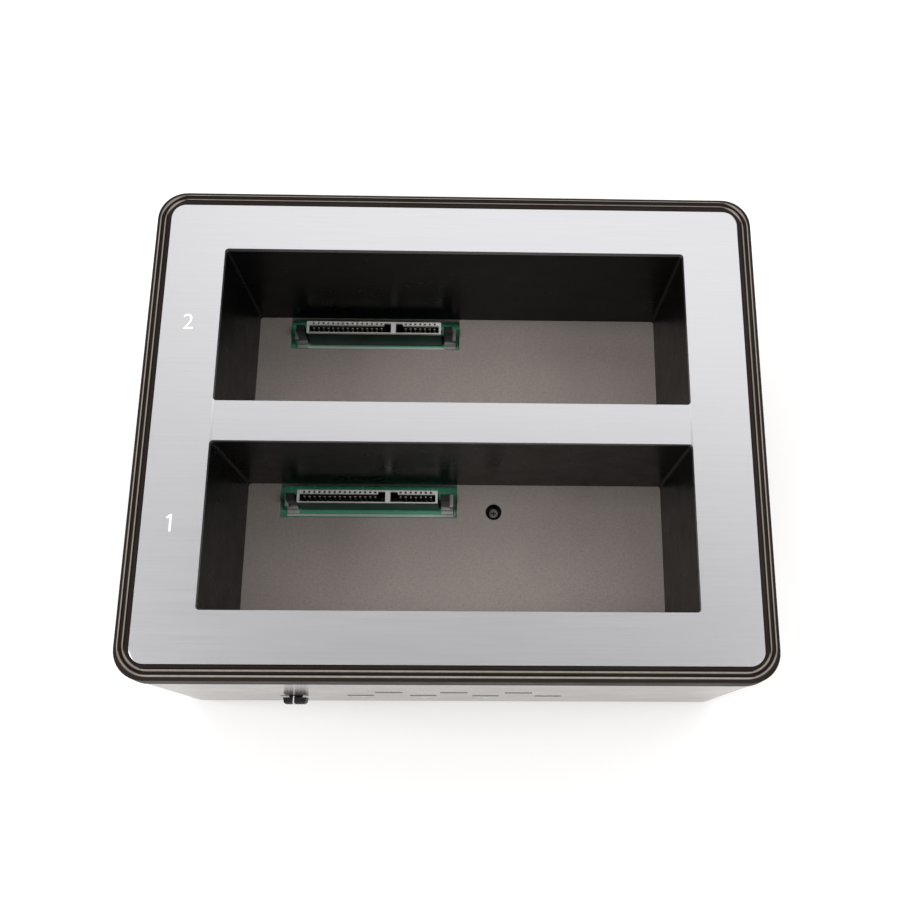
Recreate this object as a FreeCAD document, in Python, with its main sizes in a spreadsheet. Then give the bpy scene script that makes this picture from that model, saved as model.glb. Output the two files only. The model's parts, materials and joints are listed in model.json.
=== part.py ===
import FreeCAD, Part
import math
import operator
import os
from types import SimpleNamespace

import Sketcher

# Drive duplicator: a desktop unit that takes two bare disk drives, standing on their edges in two bays.
# Millimetres. X runs to the right, Y to the back, Z up. The origin is at the middle of the footprint,
# on the surface that the rubber feet stand on.

SIZES = [
    # Casing: a moulded shell that widens towards its open underside.
    ("deck_level", 69.0, "height of the deck plate's top face"),
    ("foot_height", 2.5, "height of the casing's lower edge"),
    ("shoulder_level", 63.0, "height of the shoulder that the trim ring sits on"),
    ("casing_wall", 2.4, "wall of the moulded casing"),
    ("casing_draft", 2.1, "degrees that each wall leans out towards the foot"),
    ("casing_corner", 5.6, "corner radius of the casing"),
    ("shoulder_step", 0.4, "how far the casing stands back below the trim ring"),
    ("ring_foot", 3.65, "width of the trim ring's foot"),
    ("plate_width", 130.5, "deck plate width"),
    ("plate_depth", 103.2, "deck plate depth"),
    ("plate_corner", 3.2, "deck plate corner radius"),
    ("plate_thickness", 1.5, "deck plate thickness"),
    ("plate_gap", 0.1, "gap between the deck plate and the trim ring"),
    ("bead_rise", 0.4, "height of the trim ring's two beads"),
    ("bead_width", 0.7, "width of one bead at its foot"),
    ("bead_crest", 0.25, "width of a bead's flat crest"),
    ("band_inner", 0.5, "flat of the trim ring inside the beads"),
    ("band_between", 0.4, "groove between the beads"),
    ("band_outer", 0.9, "sloped band outside the beads"),
    ("band_drop", 0.5, "fall of the sloped band"),
    ("cover_thickness", 2.5, "base cover thickness"),
    ("cover_gap", 0.2, "gap round the base cover"),
    # Bays.
    ("bay_width", 104.8, "bay width, for a drive 101.6 wide"),
    ("bay_depth", 36.2, "bay depth, for a drive 26.1 thick"),
    ("bay_pitch", 45.2, "distance between the two bays' centres"),
    ("bay_drop", 42.6, "depth of a bay below the deck"),
    ("bay_corner", 0.8, "corner radius of a bay"),
    ("well_wall", 1.8, "wall of a well"),
    ("flange_width", 1.8, "how far a well's top flange stands out"),
    ("flange_thickness", 1.5, "thickness of a well's top flange"),
    ("well_gap", 0.2, "gap between a well and the casing's opening"),
    ("tray_thickness", 2.0, "thickness of the tray that floors both bays"),
    ("tray_margin", 0.5, "tray beyond the wells, all round"),
    ("port_side", 0.95, "gap beside the hold-downs in a floor's cut-out"),
    ("port_front", 1.85, "gap in front of the hold-downs in a floor's cut-out"),
    # Receptacles: the standard 22-contact drive connector.
    ("connector_shift", -21.9, "middle of the contact field, from the middle of the bay"),
    ("contact_pitch", 1.27, "contact pitch"),
    ("segment_gap", 6.35, "last power contact to first signal contact"),
    ("power_contacts", 15, "contacts in the power segment"),
    ("signal_contacts", 7, "contacts in the signal segment"),
    ("contact_width", 0.5, "contact width"),
    ("contact_sheet", 0.2, "contact thickness"),
    ("contact_bulge", 0.9, "how far a contact bulges into the slot"),
    ("contact_bend", 1.4, "bulge of a contact below the rim piece"),
    ("tip_stand", 0.35, "tip of a contact in front of the slot's rear wall"),
    ("connector_height", 9.5, "height of the receptacle above the board"),
    ("connector_wall_gap", 2.35, "gap between the receptacle and the bay's rear wall"),
    ("rim_end", 0.575, "rim beyond the ends of the slot"),
    ("rim_depth", 3.2, "depth of the receptacle's rim"),
    ("rim_thickness", 1.0, "thickness of the rim piece"),
    ("rim_lip", 0.25, "lip in front of the slot"),
    ("slot_depth", 1.95, "opening of the slot, front to back"),
    ("slot_end", 1.15, "slot beyond its outermost contact"),
    ("key_margin", 0.7, "slot wall beside the key, from the nearest contact"),
    ("key_width", 1.85, "width of a key notch"),
    ("key_wall", 0.35, "wall behind a key notch"),
    ("slot_floor", 1.5, "height of the slot's floor above the board"),
    ("peep_size", 0.6, "square hole behind each contact"),
    ("peep_inset", 0.5, "centre of those holes, from the rim's rear face"),
    ("post_width", 2.2, "width of a guide post"),
    ("post_gap", 0.7, "gap between a guide post and the rim"),
    ("post_drop", 1.0, "how far the posts stop below the rim"),
    ("post_inset", 0.7, "guide post and its foot behind the body's front and rear faces"),
    ("tab_sheet", 0.9, "width of a hold-down's arms"),
    ("tab_height", 4.6, "height of a hold-down's side arm"),
    ("tab_step", 2.3, "height of its front arm"),
    ("tab_foot", 0.85, "hold-down's soldered foot in front of its arm"),
    ("tab_foot_sheet", 0.4, "thickness of that foot"),
    # Boards.
    ("board_drop", 5.5, "main board's top face below the bay floors"),
    ("board_thickness", 1.6, "board thickness"),
    ("board_gap", 0.5, "gap round the main board"),
    ("front_board_inset", 5.0, "front board's front face behind the casing's front face"),
    ("front_board_width", 92.0, "front board width"),
    ("front_board_shift", -1.0, "front board's middle"),
    ("front_board_foot", 16.0, "lower edge of the front board"),
    ("front_board_height", 26.0, "front board height"),
    ("guide_foot", 24.0, "lower end of the front board's guides"),
    ("guide_bite", 1.5, "how far a guide takes in the front board's edge"),
    ("guide_gap", 0.1, "gap round the front board in its guides"),
    ("guide_wall", 1.6, "wall of a guide"),
    # Fasteners.
    ("corner_screw_side", 8.6, "casing screws, in from the casing's sides at the shoulder"),
    ("corner_screw_end", 7.95, "casing screws, in from the casing's front and rear at the shoulder"),
    ("corner_boss", 7.0, "side of the casing's square screw bosses"),
    ("chassis_screw_y", 30.0, "outer chassis screws, from the middle"),
    ("bay_screw_x", 9.8, "screw in the front bay's floor"),
    ("bay_screw_y", -11.4, "screw in the front bay's floor"),
    ("chassis_boss", 5.2, "side of the square bosses and posts for the small screws"),
    ("screw_well", 1.95, "radius of the counterbore above the bay's screw"),
    ("screw_well_depth", 3.5, "depth of that counterbore"),
    ("small_head", 1.15, "head radius of a chassis screw"),
    ("small_head_height", 1.4, "head height of a chassis screw"),
    ("small_shank", 0.8, "shank radius of a chassis screw"),
    ("small_length", 12.0, "shank length of a chassis screw"),
    ("large_head", 2.4, "head radius of a casing screw"),
    ("large_head_height", 1.3, "head height of a casing screw"),
    ("large_shank", 1.25, "shank radius of a casing screw"),
    ("large_length", 12.0, "shank length of a casing screw"),
    ("head_gap", 0.3, "gap round a screw head in its counterbore"),
    ("thread_gap", 0.05, "gap round a shank in its hole"),
    # Feet and vents.
    ("foot_radius", 6.0, "rubber foot radius, at the cover"),
    ("foot_taper", 0.6, "how much smaller a foot's radius is at the bottom"),
    ("foot_x", 49.0, "feet, from the middle"),
    ("foot_y", 36.0, "feet, from the middle"),
    ("vent_middle", 20.0, "middle of the vent slots, behind the base cover's middle"),
    ("vent_length", 30.0, "length of a vent slot"),
    ("vent_width", 2.0, "width of a vent slot"),
    ("vent_pitch", 5.0, "pitch of the vent slots"),
    ("vent_count", 7, "number of vent slots"),
    # Front panel.
    ("window_width", 6.4, "width of an indicator window"),
    ("window_height", 3.0, "height of an indicator window"),
    ("window_pitch", 15.2, "pitch of the indicator windows"),
    ("window_shift", 0.5, "middle of the window rows"),
    ("lower_count", 4, "windows in the lower row"),
    ("upper_count", 3, "windows in the upper row"),
    ("lower_level", 23.5, "height of the lower row"),
    ("upper_level", 34.0, "height of the upper row"),
    ("window_gap", 0.1, "gap round a light pipe's tip"),
    ("pipe_edge", 0.8, "how far the bar stands out round the tips"),
    ("led_height", 1.0, "height of an indicator lamp above its board"),
    ("led_gap", 0.3, "gap between a lamp and its light pipe"),
    ("slider_x", -38.4, "middle of the slider's cap at rest"),
    ("slider_level", 21.0, "height of the slider's middle"),
    ("slider_travel", 2.0, "travel of the slider"),
    ("slider_gap", 0.3, "gap round the slider's stem and behind its cap"),
    ("cap_width", 5.6, "width of the slider's cap"),
    ("cap_height", 4.5, "height of the slider's cap"),
    ("cap_proud", 2.0, "how far the cap stands in front of the casing"),
    ("cap_edge", 0.4, "chamfer round the cap's front face"),
    ("cap_taper", 0.25, "how much narrower the cap's front face is, each side"),
    ("grip_ribs", 6, "ribs across the slider's cap"),
    ("grip_width", 0.35, "width of a groove between the ribs"),
    ("grip_depth", 0.25, "depth of a groove between the ribs"),
    ("stem_width", 3.0, "width of the slider's stem"),
    ("stem_height", 2.0, "height of the slider's stem"),
    ("stem_bite", 1.6, "how far the stem reaches into the switch"),
    ("switch_width", 8.6, "slide switch body width"),
    ("switch_height", 3.8, "slide switch body height"),
    ("switch_depth", 2.4, "slide switch body depth"),
    ("switch_floor", 0.5, "slide switch body behind its track"),
    # Rear panel.
    ("rear_level", 12.6, "height of the jack's and the power switch's middle"),
    ("jack_x", 34.0, "middle of the power jack"),
    ("jack_width", 9.0, "power jack body width"),
    ("jack_depth", 14.0, "power jack body depth"),
    ("jack_drop", 4.6, "power jack body below its middle"),
    ("jack_bore", 3.15, "radius of the jack's bore, for a 5.5 plug"),
    ("jack_bore_depth", 10.0, "depth of the jack's bore"),
    ("jack_pin", 1.05, "radius of the jack's centre pin"),
    ("jack_pin_inset", 1.0, "centre pin behind the jack's mouth"),
    ("jack_mouth", 3.9, "radius of the casing's hole at the jack"),
    ("jack_collar", 3.7, "radius of the jack's collar"),
    ("rocker_x", -36.0, "middle of the power switch"),
    ("bezel_width", 15.4, "power switch bezel width"),
    ("bezel_height", 11.0, "power switch bezel height"),
    ("bezel_proud", 1.2, "power switch bezel in front of the casing"),
    ("frame_width", 13.6, "power switch body width"),
    ("frame_height", 9.4, "power switch body height"),
    ("frame_reach", 9.5, "power switch body behind its bezel"),
    ("frame_side", 0.9, "wall at the ends of the power switch body"),
    ("frame_cheek", 0.8, "wall that carries the rocker's pins"),
    ("frame_back", 1.2, "back wall of the power switch body"),
    ("rocker_gap", 0.3, "gap round the rocker"),
    ("rocker_sink", 2.4, "rocker's pivot behind the bezel's face"),
    ("rocker_middle", 2.0, "rocker's thickness in front of its pivot, at the middle"),
    ("rocker_tail", 2.4, "rocker's thickness behind its pivot"),
    ("rocker_tilt", 8.0, "degrees that the rocker leans each way from level"),
    ("rocker_pin", 0.8, "radius of the rocker's pins"),
    ("rocker_pin_gap", 0.06, "gap round the rocker's pins"),
    ("rocker_pin_bite", 0.5, "how far a pin reaches into its cheek"),
    ("terminal_width", 3.0, "width of a power switch terminal"),
    ("terminal_sheet", 0.6, "thickness of a terminal"),
    ("terminal_length", 4.0, "terminal behind the power switch"),
    ("terminal_pitch", 5.0, "distance between the terminals"),
    # Parts on the main board.
    ("chip_side", 14.0, "controller side"),
    ("chip_height", 1.4, "controller height"),
    ("chip_x", 27.0, "middle of the controller"),
    ("chip_y", 16.0, "middle of the controller"),
    ("lead_pitch", 1.0, "pitch of the controller's leads"),
    ("lead_count", 12, "leads on each of two sides of the controller"),
    ("lead_width", 0.4, "width of a lead"),
    ("lead_reach", 1.2, "lead beyond the controller's side"),
    ("lead_sheet", 0.25, "thickness of a lead"),
    ("memory_width", 6.0, "memory chip width"),
    ("memory_depth", 5.0, "memory chip depth"),
    ("memory_height", 1.6, "memory chip height"),
    ("crystal_length", 10.2, "crystal length"),
    ("crystal_width", 4.4, "crystal width"),
    ("crystal_height", 2.6, "crystal height"),
    ("can_radius", 4.0, "capacitor radius"),
    ("can_height", 9.5, "capacitor height"),
    ("can_y", -20.0, "middle of the row of capacitors"),
    ("coil_side", 7.0, "inductor side"),
    ("coil_height", 3.5, "inductor height"),
    ("coil_y", 16.0, "middle of the row of inductors"),
    ("supply_x", -30.0, "first capacitor and first inductor, from the middle"),
    ("supply_pitch", 11.0, "pitch of the capacitors and of the inductors"),
    ("supply_count", 2, "capacitors, and inductors"),
    ("header_pins", 8, "pins that join the two boards"),
    ("header_pitch", 2.54, "pitch of those pins"),
    ("header_x", 24.0, "middle of the board header"),
    ("header_depth", 2.5, "board header block, front to back"),
    ("header_height", 2.5, "board header block height"),
    ("pin_side", 0.6, "side of a header pin"),
]

document = FreeCAD.newDocument("DriveDuplicator")
sheet = document.addObject("Spreadsheet::Sheet", "Sizes")
nodes = []

OPERATORS = {"+": operator.add, "-": operator.sub, "*": operator.mul, "/": operator.truediv}


class Size:
    """A length worked out from the sheet: its text for an expression, and its present value."""

    def __init__(self, text, value):
        self.text = text
        self.value = value

    def __add__(self, other):
        return joined(self, "+", other)

    def __radd__(self, other):
        return joined(other, "+", self)

    def __sub__(self, other):
        return joined(self, "-", other)

    def __rsub__(self, other):
        return joined(other, "-", self)

    def __mul__(self, other):
        return joined(self, "*", other)

    def __rmul__(self, other):
        return joined(other, "*", self)

    def __truediv__(self, other):
        return joined(self, "/", other)

    def __neg__(self):
        return joined(0, "-", self)


def as_size(length):
    return length if isinstance(length, Size) else Size(str(length), float(length))


def joined(left, sign, right):
    left = as_size(left)
    right = as_size(right)
    return Size(f"({left.text} {sign} {right.text})", OPERATORS[sign](left.value, right.value))


def tangent(degrees):
    return Size(f"tan({degrees.text} * 1 deg)", math.tan(math.radians(degrees.value)))


def fill_sheet():
    """Writes the driving sizes into the sheet and returns them by name."""
    lengths = {}
    for row, (name, value, meaning) in enumerate(SIZES, start=1):
        sheet.set(f"A{row}", name)
        sheet.set(f"B{row}", str(value))
        sheet.set(f"C{row}", meaning)
        sheet.setAlias(f"B{row}", name)
        lengths[name] = Size(f"Sizes.{name}", float(value))
    document.recompute()
    return SimpleNamespace(**lengths)


size = fill_sheet()

QUARTER_TURN = math.pi / 2
TINY = 1e-6
ALMOST_ONE = 0.99

# Levels and places that several sub-parts share.
PLATE_UNDERSIDE = size.deck_level - size.plate_thickness
SEAT_LEVEL = PLATE_UNDERSIDE - size.flange_thickness
FLOOR_LEVEL = size.deck_level - size.bay_drop
TRAY_UNDERSIDE = FLOOR_LEVEL - size.tray_thickness
BOARD_TOP = FLOOR_LEVEL - size.board_drop
BOARD_UNDERSIDE = BOARD_TOP - size.board_thickness
COVER_TOP = size.foot_height + size.cover_thickness
RING_WIDTH = size.plate_width + 2 * size.plate_gap
RING_DEPTH = size.plate_depth + 2 * size.plate_gap
RING_CORNER = size.plate_corner + size.plate_gap
SHOULDER_WIDTH = RING_WIDTH + 2 * (size.ring_foot - size.shoulder_step)
SHOULDER_DEPTH = RING_DEPTH + 2 * (size.ring_foot - size.shoulder_step)
WELL_WIDTH = size.bay_width + 2 * size.well_wall
WELL_DEPTH = size.bay_depth + 2 * size.well_wall
INNER_HALF_WIDTH = SHOULDER_WIDTH / 2 - size.casing_wall
CORNER_SCREW_X = SHOULDER_WIDTH / 2 - size.corner_screw_side
CORNER_SCREW_Y = SHOULDER_DEPTH / 2 - size.corner_screw_end
CHASSIS_SCREW_X = (WELL_WIDTH / 2 + INNER_HALF_WIDTH) / 2
SHELL_HEIGHT = size.shoulder_level - size.foot_height
WEB_UNDERSIDE = size.shoulder_level - size.casing_wall
FIELD_WIDTH = (size.power_contacts + size.signal_contacts - 2) * size.contact_pitch + size.segment_gap
FIRST_POWER = size.connector_shift - FIELD_WIDTH / 2
LAST_POWER = FIRST_POWER + (size.power_contacts - 1) * size.contact_pitch
FIRST_SIGNAL = LAST_POWER + size.segment_gap
LAST_SIGNAL = FIRST_SIGNAL + (size.signal_contacts - 1) * size.contact_pitch
RIM_WIDTH = FIELD_WIDTH + 2 * (size.slot_end + size.rim_end)
POST_REACH = RIM_WIDTH / 2 + size.post_gap + size.post_width
TAB_FRONT = size.tab_sheet - size.post_inset + size.tab_foot
PORT_WIDTH = 2 * (POST_REACH + size.tab_sheet + size.port_side)
PORT_DEPTH = size.connector_wall_gap + size.rim_depth + TAB_FRONT + size.port_front
RIM_REAR = size.bay_depth / 2 - size.connector_wall_gap
RIM_FRONT = RIM_REAR - size.rim_depth
RIM_MIDDLE = RIM_REAR - size.rim_depth / 2
RIM_UNDERSIDE = BOARD_TOP + size.connector_height - size.rim_thickness
SLOT_FRONT = RIM_FRONT + size.rim_lip
SLOT_MIDDLE = SLOT_FRONT + size.slot_depth / 2
TRACK_WIDTH = size.stem_width + size.slider_travel + 2 * size.slider_gap
TRACK_HEIGHT = size.stem_height + 2 * size.slider_gap
BAYS = (("front", -1), ("rear", 1))


def casing_half_depth(level):
    """Half the casing's outer depth at a level: it widens evenly downwards."""
    return SHOULDER_DEPTH / 2 + tangent(size.casing_draft) * (size.shoulder_level - level)


def inner_half_depth(level):
    """Half the casing's inner depth at a level."""
    return casing_half_depth(level) - size.casing_wall


def window_columns(count):
    """X of the first window in a row of this many, with the row centred on the panel."""
    return size.window_shift - (count - 1) * size.window_pitch / 2


# Helpers: each binds what it makes to the sheet.

def bind(thing, path, length):
    """Sets a property to a size by expression, or to a plain number."""
    length = as_size(length)
    thing.setExpression(path, length.text)


def keep(thing, label):
    """Names a finished sub-part and lists it for export."""
    thing.Label = label
    nodes.append(thing)
    return thing


def new_body(label):
    body = document.addObject("PartDesign::Body", label + "_body")
    body.AllowCompound = True
    return keep(body, label)


def sketch_on(body, plane, level=0):
    """A sketch on one of the body's origin planes, moved along its normal."""
    sketch = body.newObject("Sketcher::SketchObject", "Sketch")
    support = next(face for face in body.Origin.OriginFeatures if face.Role == plane)
    sketch.AttachmentSupport = [(support, "")]
    sketch.MapMode = "FlatFace"
    bind(sketch, "AttachmentOffset.Base.z", level)
    return sketch


def constrain(sketch, kind, *points, length=None):
    """Adds one constraint, driven by a size where it has one."""
    if length is None:
        return sketch.addConstraint(Sketcher.Constraint(kind, *points))
    index = sketch.addConstraint(Sketcher.Constraint(kind, *points, length.value))
    sketch.renameConstraint(index, f"size{index}")
    sketch.setExpression(f"Constraints.size{index}", length.text)
    return index


def place(sketch, item, point, x, y):
    """Holds one point of an item at x and y in the sketch."""
    for kind, axis, distance in (("DistanceX", -2, as_size(x)), ("DistanceY", -1, as_size(y))):
        if abs(distance.value) < TINY:
            constrain(sketch, "PointOnObject", item, point, axis)
        elif distance.value > 0:
            constrain(sketch, kind, -1, 1, item, point, length=distance)
        else:
            constrain(sketch, kind, item, point, -1, 1, length=-distance)


def segment(start, end):
    return Part.LineSegment(FreeCAD.Vector(*start, 0), FreeCAD.Vector(*end, 0))


def draw_circle(sketch, radius, x=0, y=0):
    x = as_size(x)
    y = as_size(y)
    middle = FreeCAD.Vector(x.value, y.value, 0)
    item = sketch.addGeometry(Part.Circle(middle, FreeCAD.Vector(0, 0, 1), radius.value))
    constrain(sketch, "Radius", item, length=radius)
    place(sketch, item, 3, x, y)


def draw_corner_circles(sketch, radius, x, y):
    """Four circles, one in each quarter of the sketch."""
    for side in (-1, 1):
        for end in (-1, 1):
            draw_circle(sketch, radius, side * x, end * y)


def draw_rectangle(sketch, width, depth, x=0, y=0):
    """An upright rectangle centred at x and y."""
    left = as_size(x) - width / 2
    low = as_size(y) - depth / 2
    right = left + width
    high = low + depth
    ends = (left.value, right.value, right.value, left.value)
    corners = list(zip(ends, (low.value, low.value, high.value, high.value)))
    first = sketch.GeometryCount
    for start, end in zip(corners, corners[1:] + corners[:1]):
        sketch.addGeometry(segment(start, end))
    for step in range(4):
        constrain(sketch, "Coincident", first + step, 2, first + (step + 1) % 4, 1)
        constrain(sketch, ("Horizontal", "Vertical")[step % 2], first + step)
    constrain(sketch, "DistanceX", first, 1, first, 2, length=width)
    constrain(sketch, "DistanceY", first + 1, 1, first + 1, 2, length=depth)
    place(sketch, first, 1, left, low)


def draw_corner_squares(sketch, side, x, y):
    """Four squares, one in each quarter of the sketch."""
    for across in (-1, 1):
        for along in (-1, 1):
            draw_rectangle(sketch, side, side, across * x, along * y)


def draw_rounded_rectangle(sketch, width, depth, corner):
    """A rectangle with rounded corners, centred on the sketch's origin."""
    across = width / 2 - corner
    along = depth / 2 - corner
    first = sketch.GeometryCount
    for quarter, (side, end) in enumerate(((1, 1), (-1, 1), (-1, -1), (1, -1))):
        middle = FreeCAD.Vector(side * across.value, end * along.value, 0)
        circle = Part.Circle(middle, FreeCAD.Vector(0, 0, 1), corner.value)
        start = quarter * QUARTER_TURN
        sketch.addGeometry(Part.ArcOfCircle(circle, start, start + QUARTER_TURN))
    for quarter in range(4):
        arc_end = sketch.getPoint(first + quarter, 2)
        arc_start = sketch.getPoint(first + (quarter + 1) % 4, 1)
        sketch.addGeometry(Part.LineSegment(arc_end, arc_start))
    for quarter in range(4):
        line = first + 4 + quarter
        constrain(sketch, "Tangent", first + quarter, 2, line, 1)
        constrain(sketch, "Tangent", line, 2, first + (quarter + 1) % 4, 1)
        constrain(sketch, ("Horizontal", "Vertical")[quarter % 2], line)
        if quarter:
            constrain(sketch, "Equal", first, first + quarter)
    constrain(sketch, "Radius", first, length=corner)
    place(sketch, first, 3, across, along)
    place(sketch, first + 2, 3, -across, -along)


def draw_outline(sketch, corners):
    """A closed outline through corners given as pairs of sizes."""
    points = [(as_size(x), as_size(y)) for x, y in corners]
    first = sketch.GeometryCount
    for (x, y), (next_x, next_y) in zip(points, points[1:] + points[:1]):
        sketch.addGeometry(segment((x.value, y.value), (next_x.value, next_y.value)))
    for step, (x, y) in enumerate(points):
        constrain(sketch, "Coincident", first + step, 2, first + (step + 1) % len(points), 1)
        place(sketch, first + step, 1, x, y)


def pad(body, sketch, length, reverse=False):
    feature = body.newObject("PartDesign::Pad", "Pad")
    feature.Profile = sketch
    feature.Reversed = reverse
    bind(feature, "Length", length)
    document.recompute()
    return feature


def pocket(body, sketch, length, reverse=False):
    """Cuts a sketch out of the body, and stops the build where that removed nothing."""
    before = body.Shape.Volume
    feature = body.newObject("PartDesign::Pocket", "Pocket")
    feature.Profile = sketch
    feature.Reversed = reverse
    bind(feature, "Length", length)
    document.recompute()
    if not body.Shape.Volume < before:
        raise RuntimeError(f"{body.Label}: a pocket cut nothing")
    return feature


def loft(body, kind, sketches):
    feature = body.newObject("PartDesign::" + kind, kind)
    feature.Profile = sketches[0]
    feature.Sections = sketches[1:]
    feature.Ruled = True
    document.recompute()
    return feature


def repeat(body, features, sketch, axis, count, pitch):
    """Repeats features along an axis of their sketch."""
    pattern = body.newObject("PartDesign::LinearPattern", "Pattern")
    pattern.Originals = features
    pattern.Direction = (sketch, [axis])
    pattern.Mode = "Spacing"
    bind(pattern, "Offset", pitch)
    bind(pattern, "Occurrences", count)
    body.Tip = pattern
    document.recompute()
    return pattern


def round_edges(body, kind, length, wanted):
    """Fillets or chamfers those edges of the body that are wanted."""
    base = body.Tip
    names = [f"Edge{i}" for i, edge in enumerate(base.Shape.Edges, start=1) if wanted(edge)]
    feature = body.newObject("PartDesign::" + kind, kind)
    feature.Base = (base, names)
    bind(feature, "Radius" if kind == "Fillet" else "Size", length)
    document.recompute()
    return feature


def upright(edge):
    """True for a straight edge along Z."""
    return edge.Curve.TypeId == "Part::GeomLine" and abs(edge.Curve.Direction.z) > ALMOST_ONE


def block(width, depth, height, x, y, z):
    """A block with its middle at x and y and its underside at z."""
    box = document.addObject("Part::Box", "Block")
    bind(box, "Length", width)
    bind(box, "Width", depth)
    bind(box, "Height", height)
    bind(box, "Placement.Base.x", as_size(x) - as_size(width) / 2)
    bind(box, "Placement.Base.y", as_size(y) - as_size(depth) / 2)
    bind(box, "Placement.Base.z", z)
    return box


def rod(radius, length, x, y, z, towards="up"):
    """A cylinder from a point, upwards or to the back."""
    cylinder = document.addObject("Part::Cylinder", "Rod")
    bind(cylinder, "Radius", radius)
    bind(cylinder, "Height", length)
    if towards == "back":
        cylinder.Placement.Rotation = FreeCAD.Rotation(FreeCAD.Vector(1, 0, 0), -90)
    bind(cylinder, "Placement.Base.x", x)
    bind(cylinder, "Placement.Base.y", y)
    bind(cylinder, "Placement.Base.z", z)
    return cylinder


def cone(radius, top_radius, height, x, y):
    """A cone that stands on the floor at x and y."""
    thing = document.addObject("Part::Cone", "Cone")
    bind(thing, "Radius1", radius)
    bind(thing, "Radius2", top_radius)
    bind(thing, "Height", height)
    bind(thing, "Placement.Base.x", x)
    bind(thing, "Placement.Base.y", y)
    return thing


def fused(parts):
    union = document.addObject("Part::MultiFuse", "Union")
    union.Shapes = parts
    return union


def gathered(parts):
    """Separate solids of one kind, kept together."""
    group = document.addObject("Part::Compound", "Set")
    group.Links = parts
    return group


def cut(base, tool):
    difference = document.addObject("Part::Cut", "Cut")
    difference.Base = base
    difference.Tool = tool
    return difference


# Casing.

def upper_housing():
    """The drafted shell, its raised seat for the deck, its bosses and guides, and its cut-outs."""
    body = new_body("upper_housing")
    shoulder = sketch_on(body, "XY_Plane", size.shoulder_level)
    draw_rectangle(shoulder, SHOULDER_WIDTH, SHOULDER_DEPTH)
    pad(body, shoulder, SHELL_HEIGHT, reverse=True)
    lean_walls(body)
    round_edges(body, "Fillet", size.casing_corner, upright)
    hollow_out(body)
    seat = sketch_on(body, "XY_Plane", size.shoulder_level)
    inset = 2 * size.plate_gap
    draw_rounded_rectangle(seat, RING_WIDTH - inset, RING_DEPTH - inset, RING_CORNER - size.plate_gap)
    pad(body, seat, SEAT_LEVEL - size.shoulder_level)
    core = sketch_on(body, "XY_Plane", WEB_UNDERSIDE)
    rims = 2 * size.casing_wall
    draw_rounded_rectangle(core, RING_WIDTH - rims, RING_DEPTH - rims, RING_CORNER - size.casing_wall)
    pocket(body, core, SEAT_LEVEL - size.shoulder_level, reverse=True)
    housing_bosses(body)
    for side in (-1, 1):
        mouth = sketch_on(body, "XY_Plane", SEAT_LEVEL)
        opening = (WELL_WIDTH + 2 * size.well_gap, WELL_DEPTH + 2 * size.well_gap)
        draw_rectangle(mouth, *opening, 0, side * size.bay_pitch / 2)
        pocket(body, mouth, SEAT_LEVEL - WEB_UNDERSIDE)
    front_openings(body)
    front_board_guides(body)
    rear_openings(body)


def faces_facing(shape, axis, sign):
    """Names of the flat faces whose outward normal lies along an axis."""
    names = []
    for index, face in enumerate(shape.Faces, start=1):
        normal = face.normalAt(0, 0)
        if sign * getattr(normal, axis) > ALMOST_ONE:
            names.append(f"Face{index}")
    return names


def lean_walls(body):
    """Drafts the four walls about the shoulder, so that the shell widens downwards."""
    block_feature = body.Tip
    shape = block_feature.Shape
    walls = [name for axis in "xy" for sign in (-1, 1) for name in faces_facing(shape, axis, sign)]
    before = shape.Volume
    draft = body.newObject("PartDesign::Draft", "Draft")
    draft.Base = (block_feature, walls)
    draft.NeutralPlane = (block_feature, faces_facing(shape, "z", 1))
    bind(draft, "Angle", size.casing_draft)
    document.recompute()
    if body.Shape.Volume < before:
        draft.Reversed = True
        document.recompute()


def hollow_out(body):
    """Shells the casing from below, with the same wall all round."""
    full = body.Tip
    shell = body.newObject("PartDesign::Thickness", "Shell")
    shell.Base = (full, faces_facing(full.Shape, "z", -1))
    shell.Reversed = True
    shell.Join = "Intersection"
    bind(shell, "Value", size.casing_wall)
    document.recompute()


def housing_bosses(body):
    """Screw bosses that hang from the casing's web to the base cover."""
    reach = WEB_UNDERSIDE - COVER_TOP
    bosses = sketch_on(body, "XY_Plane", COVER_TOP)
    draw_corner_squares(bosses, size.corner_boss, CORNER_SCREW_X, CORNER_SCREW_Y)
    pad(body, bosses, reach)
    holes = sketch_on(body, "XY_Plane", COVER_TOP)
    draw_corner_circles(holes, size.large_shank + size.thread_gap, CORNER_SCREW_X, CORNER_SCREW_Y)
    pocket(body, holes, size.large_length, reverse=True)


def wall_sketch(body, side, level):
    """A sketch that stands one wall's thickness outside the casing: -1 in front, 1 behind."""
    return sketch_on(body, "XZ_Plane", -side * (casing_half_depth(level) + size.casing_wall))


def cut_wall(body, sketch, side):
    """Cuts a wall sketch through the casing's wall."""
    return pocket(body, sketch, 3 * size.casing_wall, reverse=side > 0)


def front_openings(body):
    """The two rows of indicator windows and the slider's slot."""
    rows = ((size.lower_count, size.lower_level), (size.upper_count, size.upper_level))
    for count, level in rows:
        sketch = wall_sketch(body, -1, level)
        draw_rectangle(sketch, size.window_width, size.window_height, window_columns(count), level)
        window = cut_wall(body, sketch, -1)
        repeat(body, [window], sketch, "H_Axis", count, size.window_pitch)
    slot = wall_sketch(body, -1, size.slider_level)
    draw_rectangle(slot, TRACK_WIDTH, TRACK_HEIGHT, size.slider_x - size.slider_travel / 2, size.slider_level)
    cut_wall(body, slot, -1)


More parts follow.
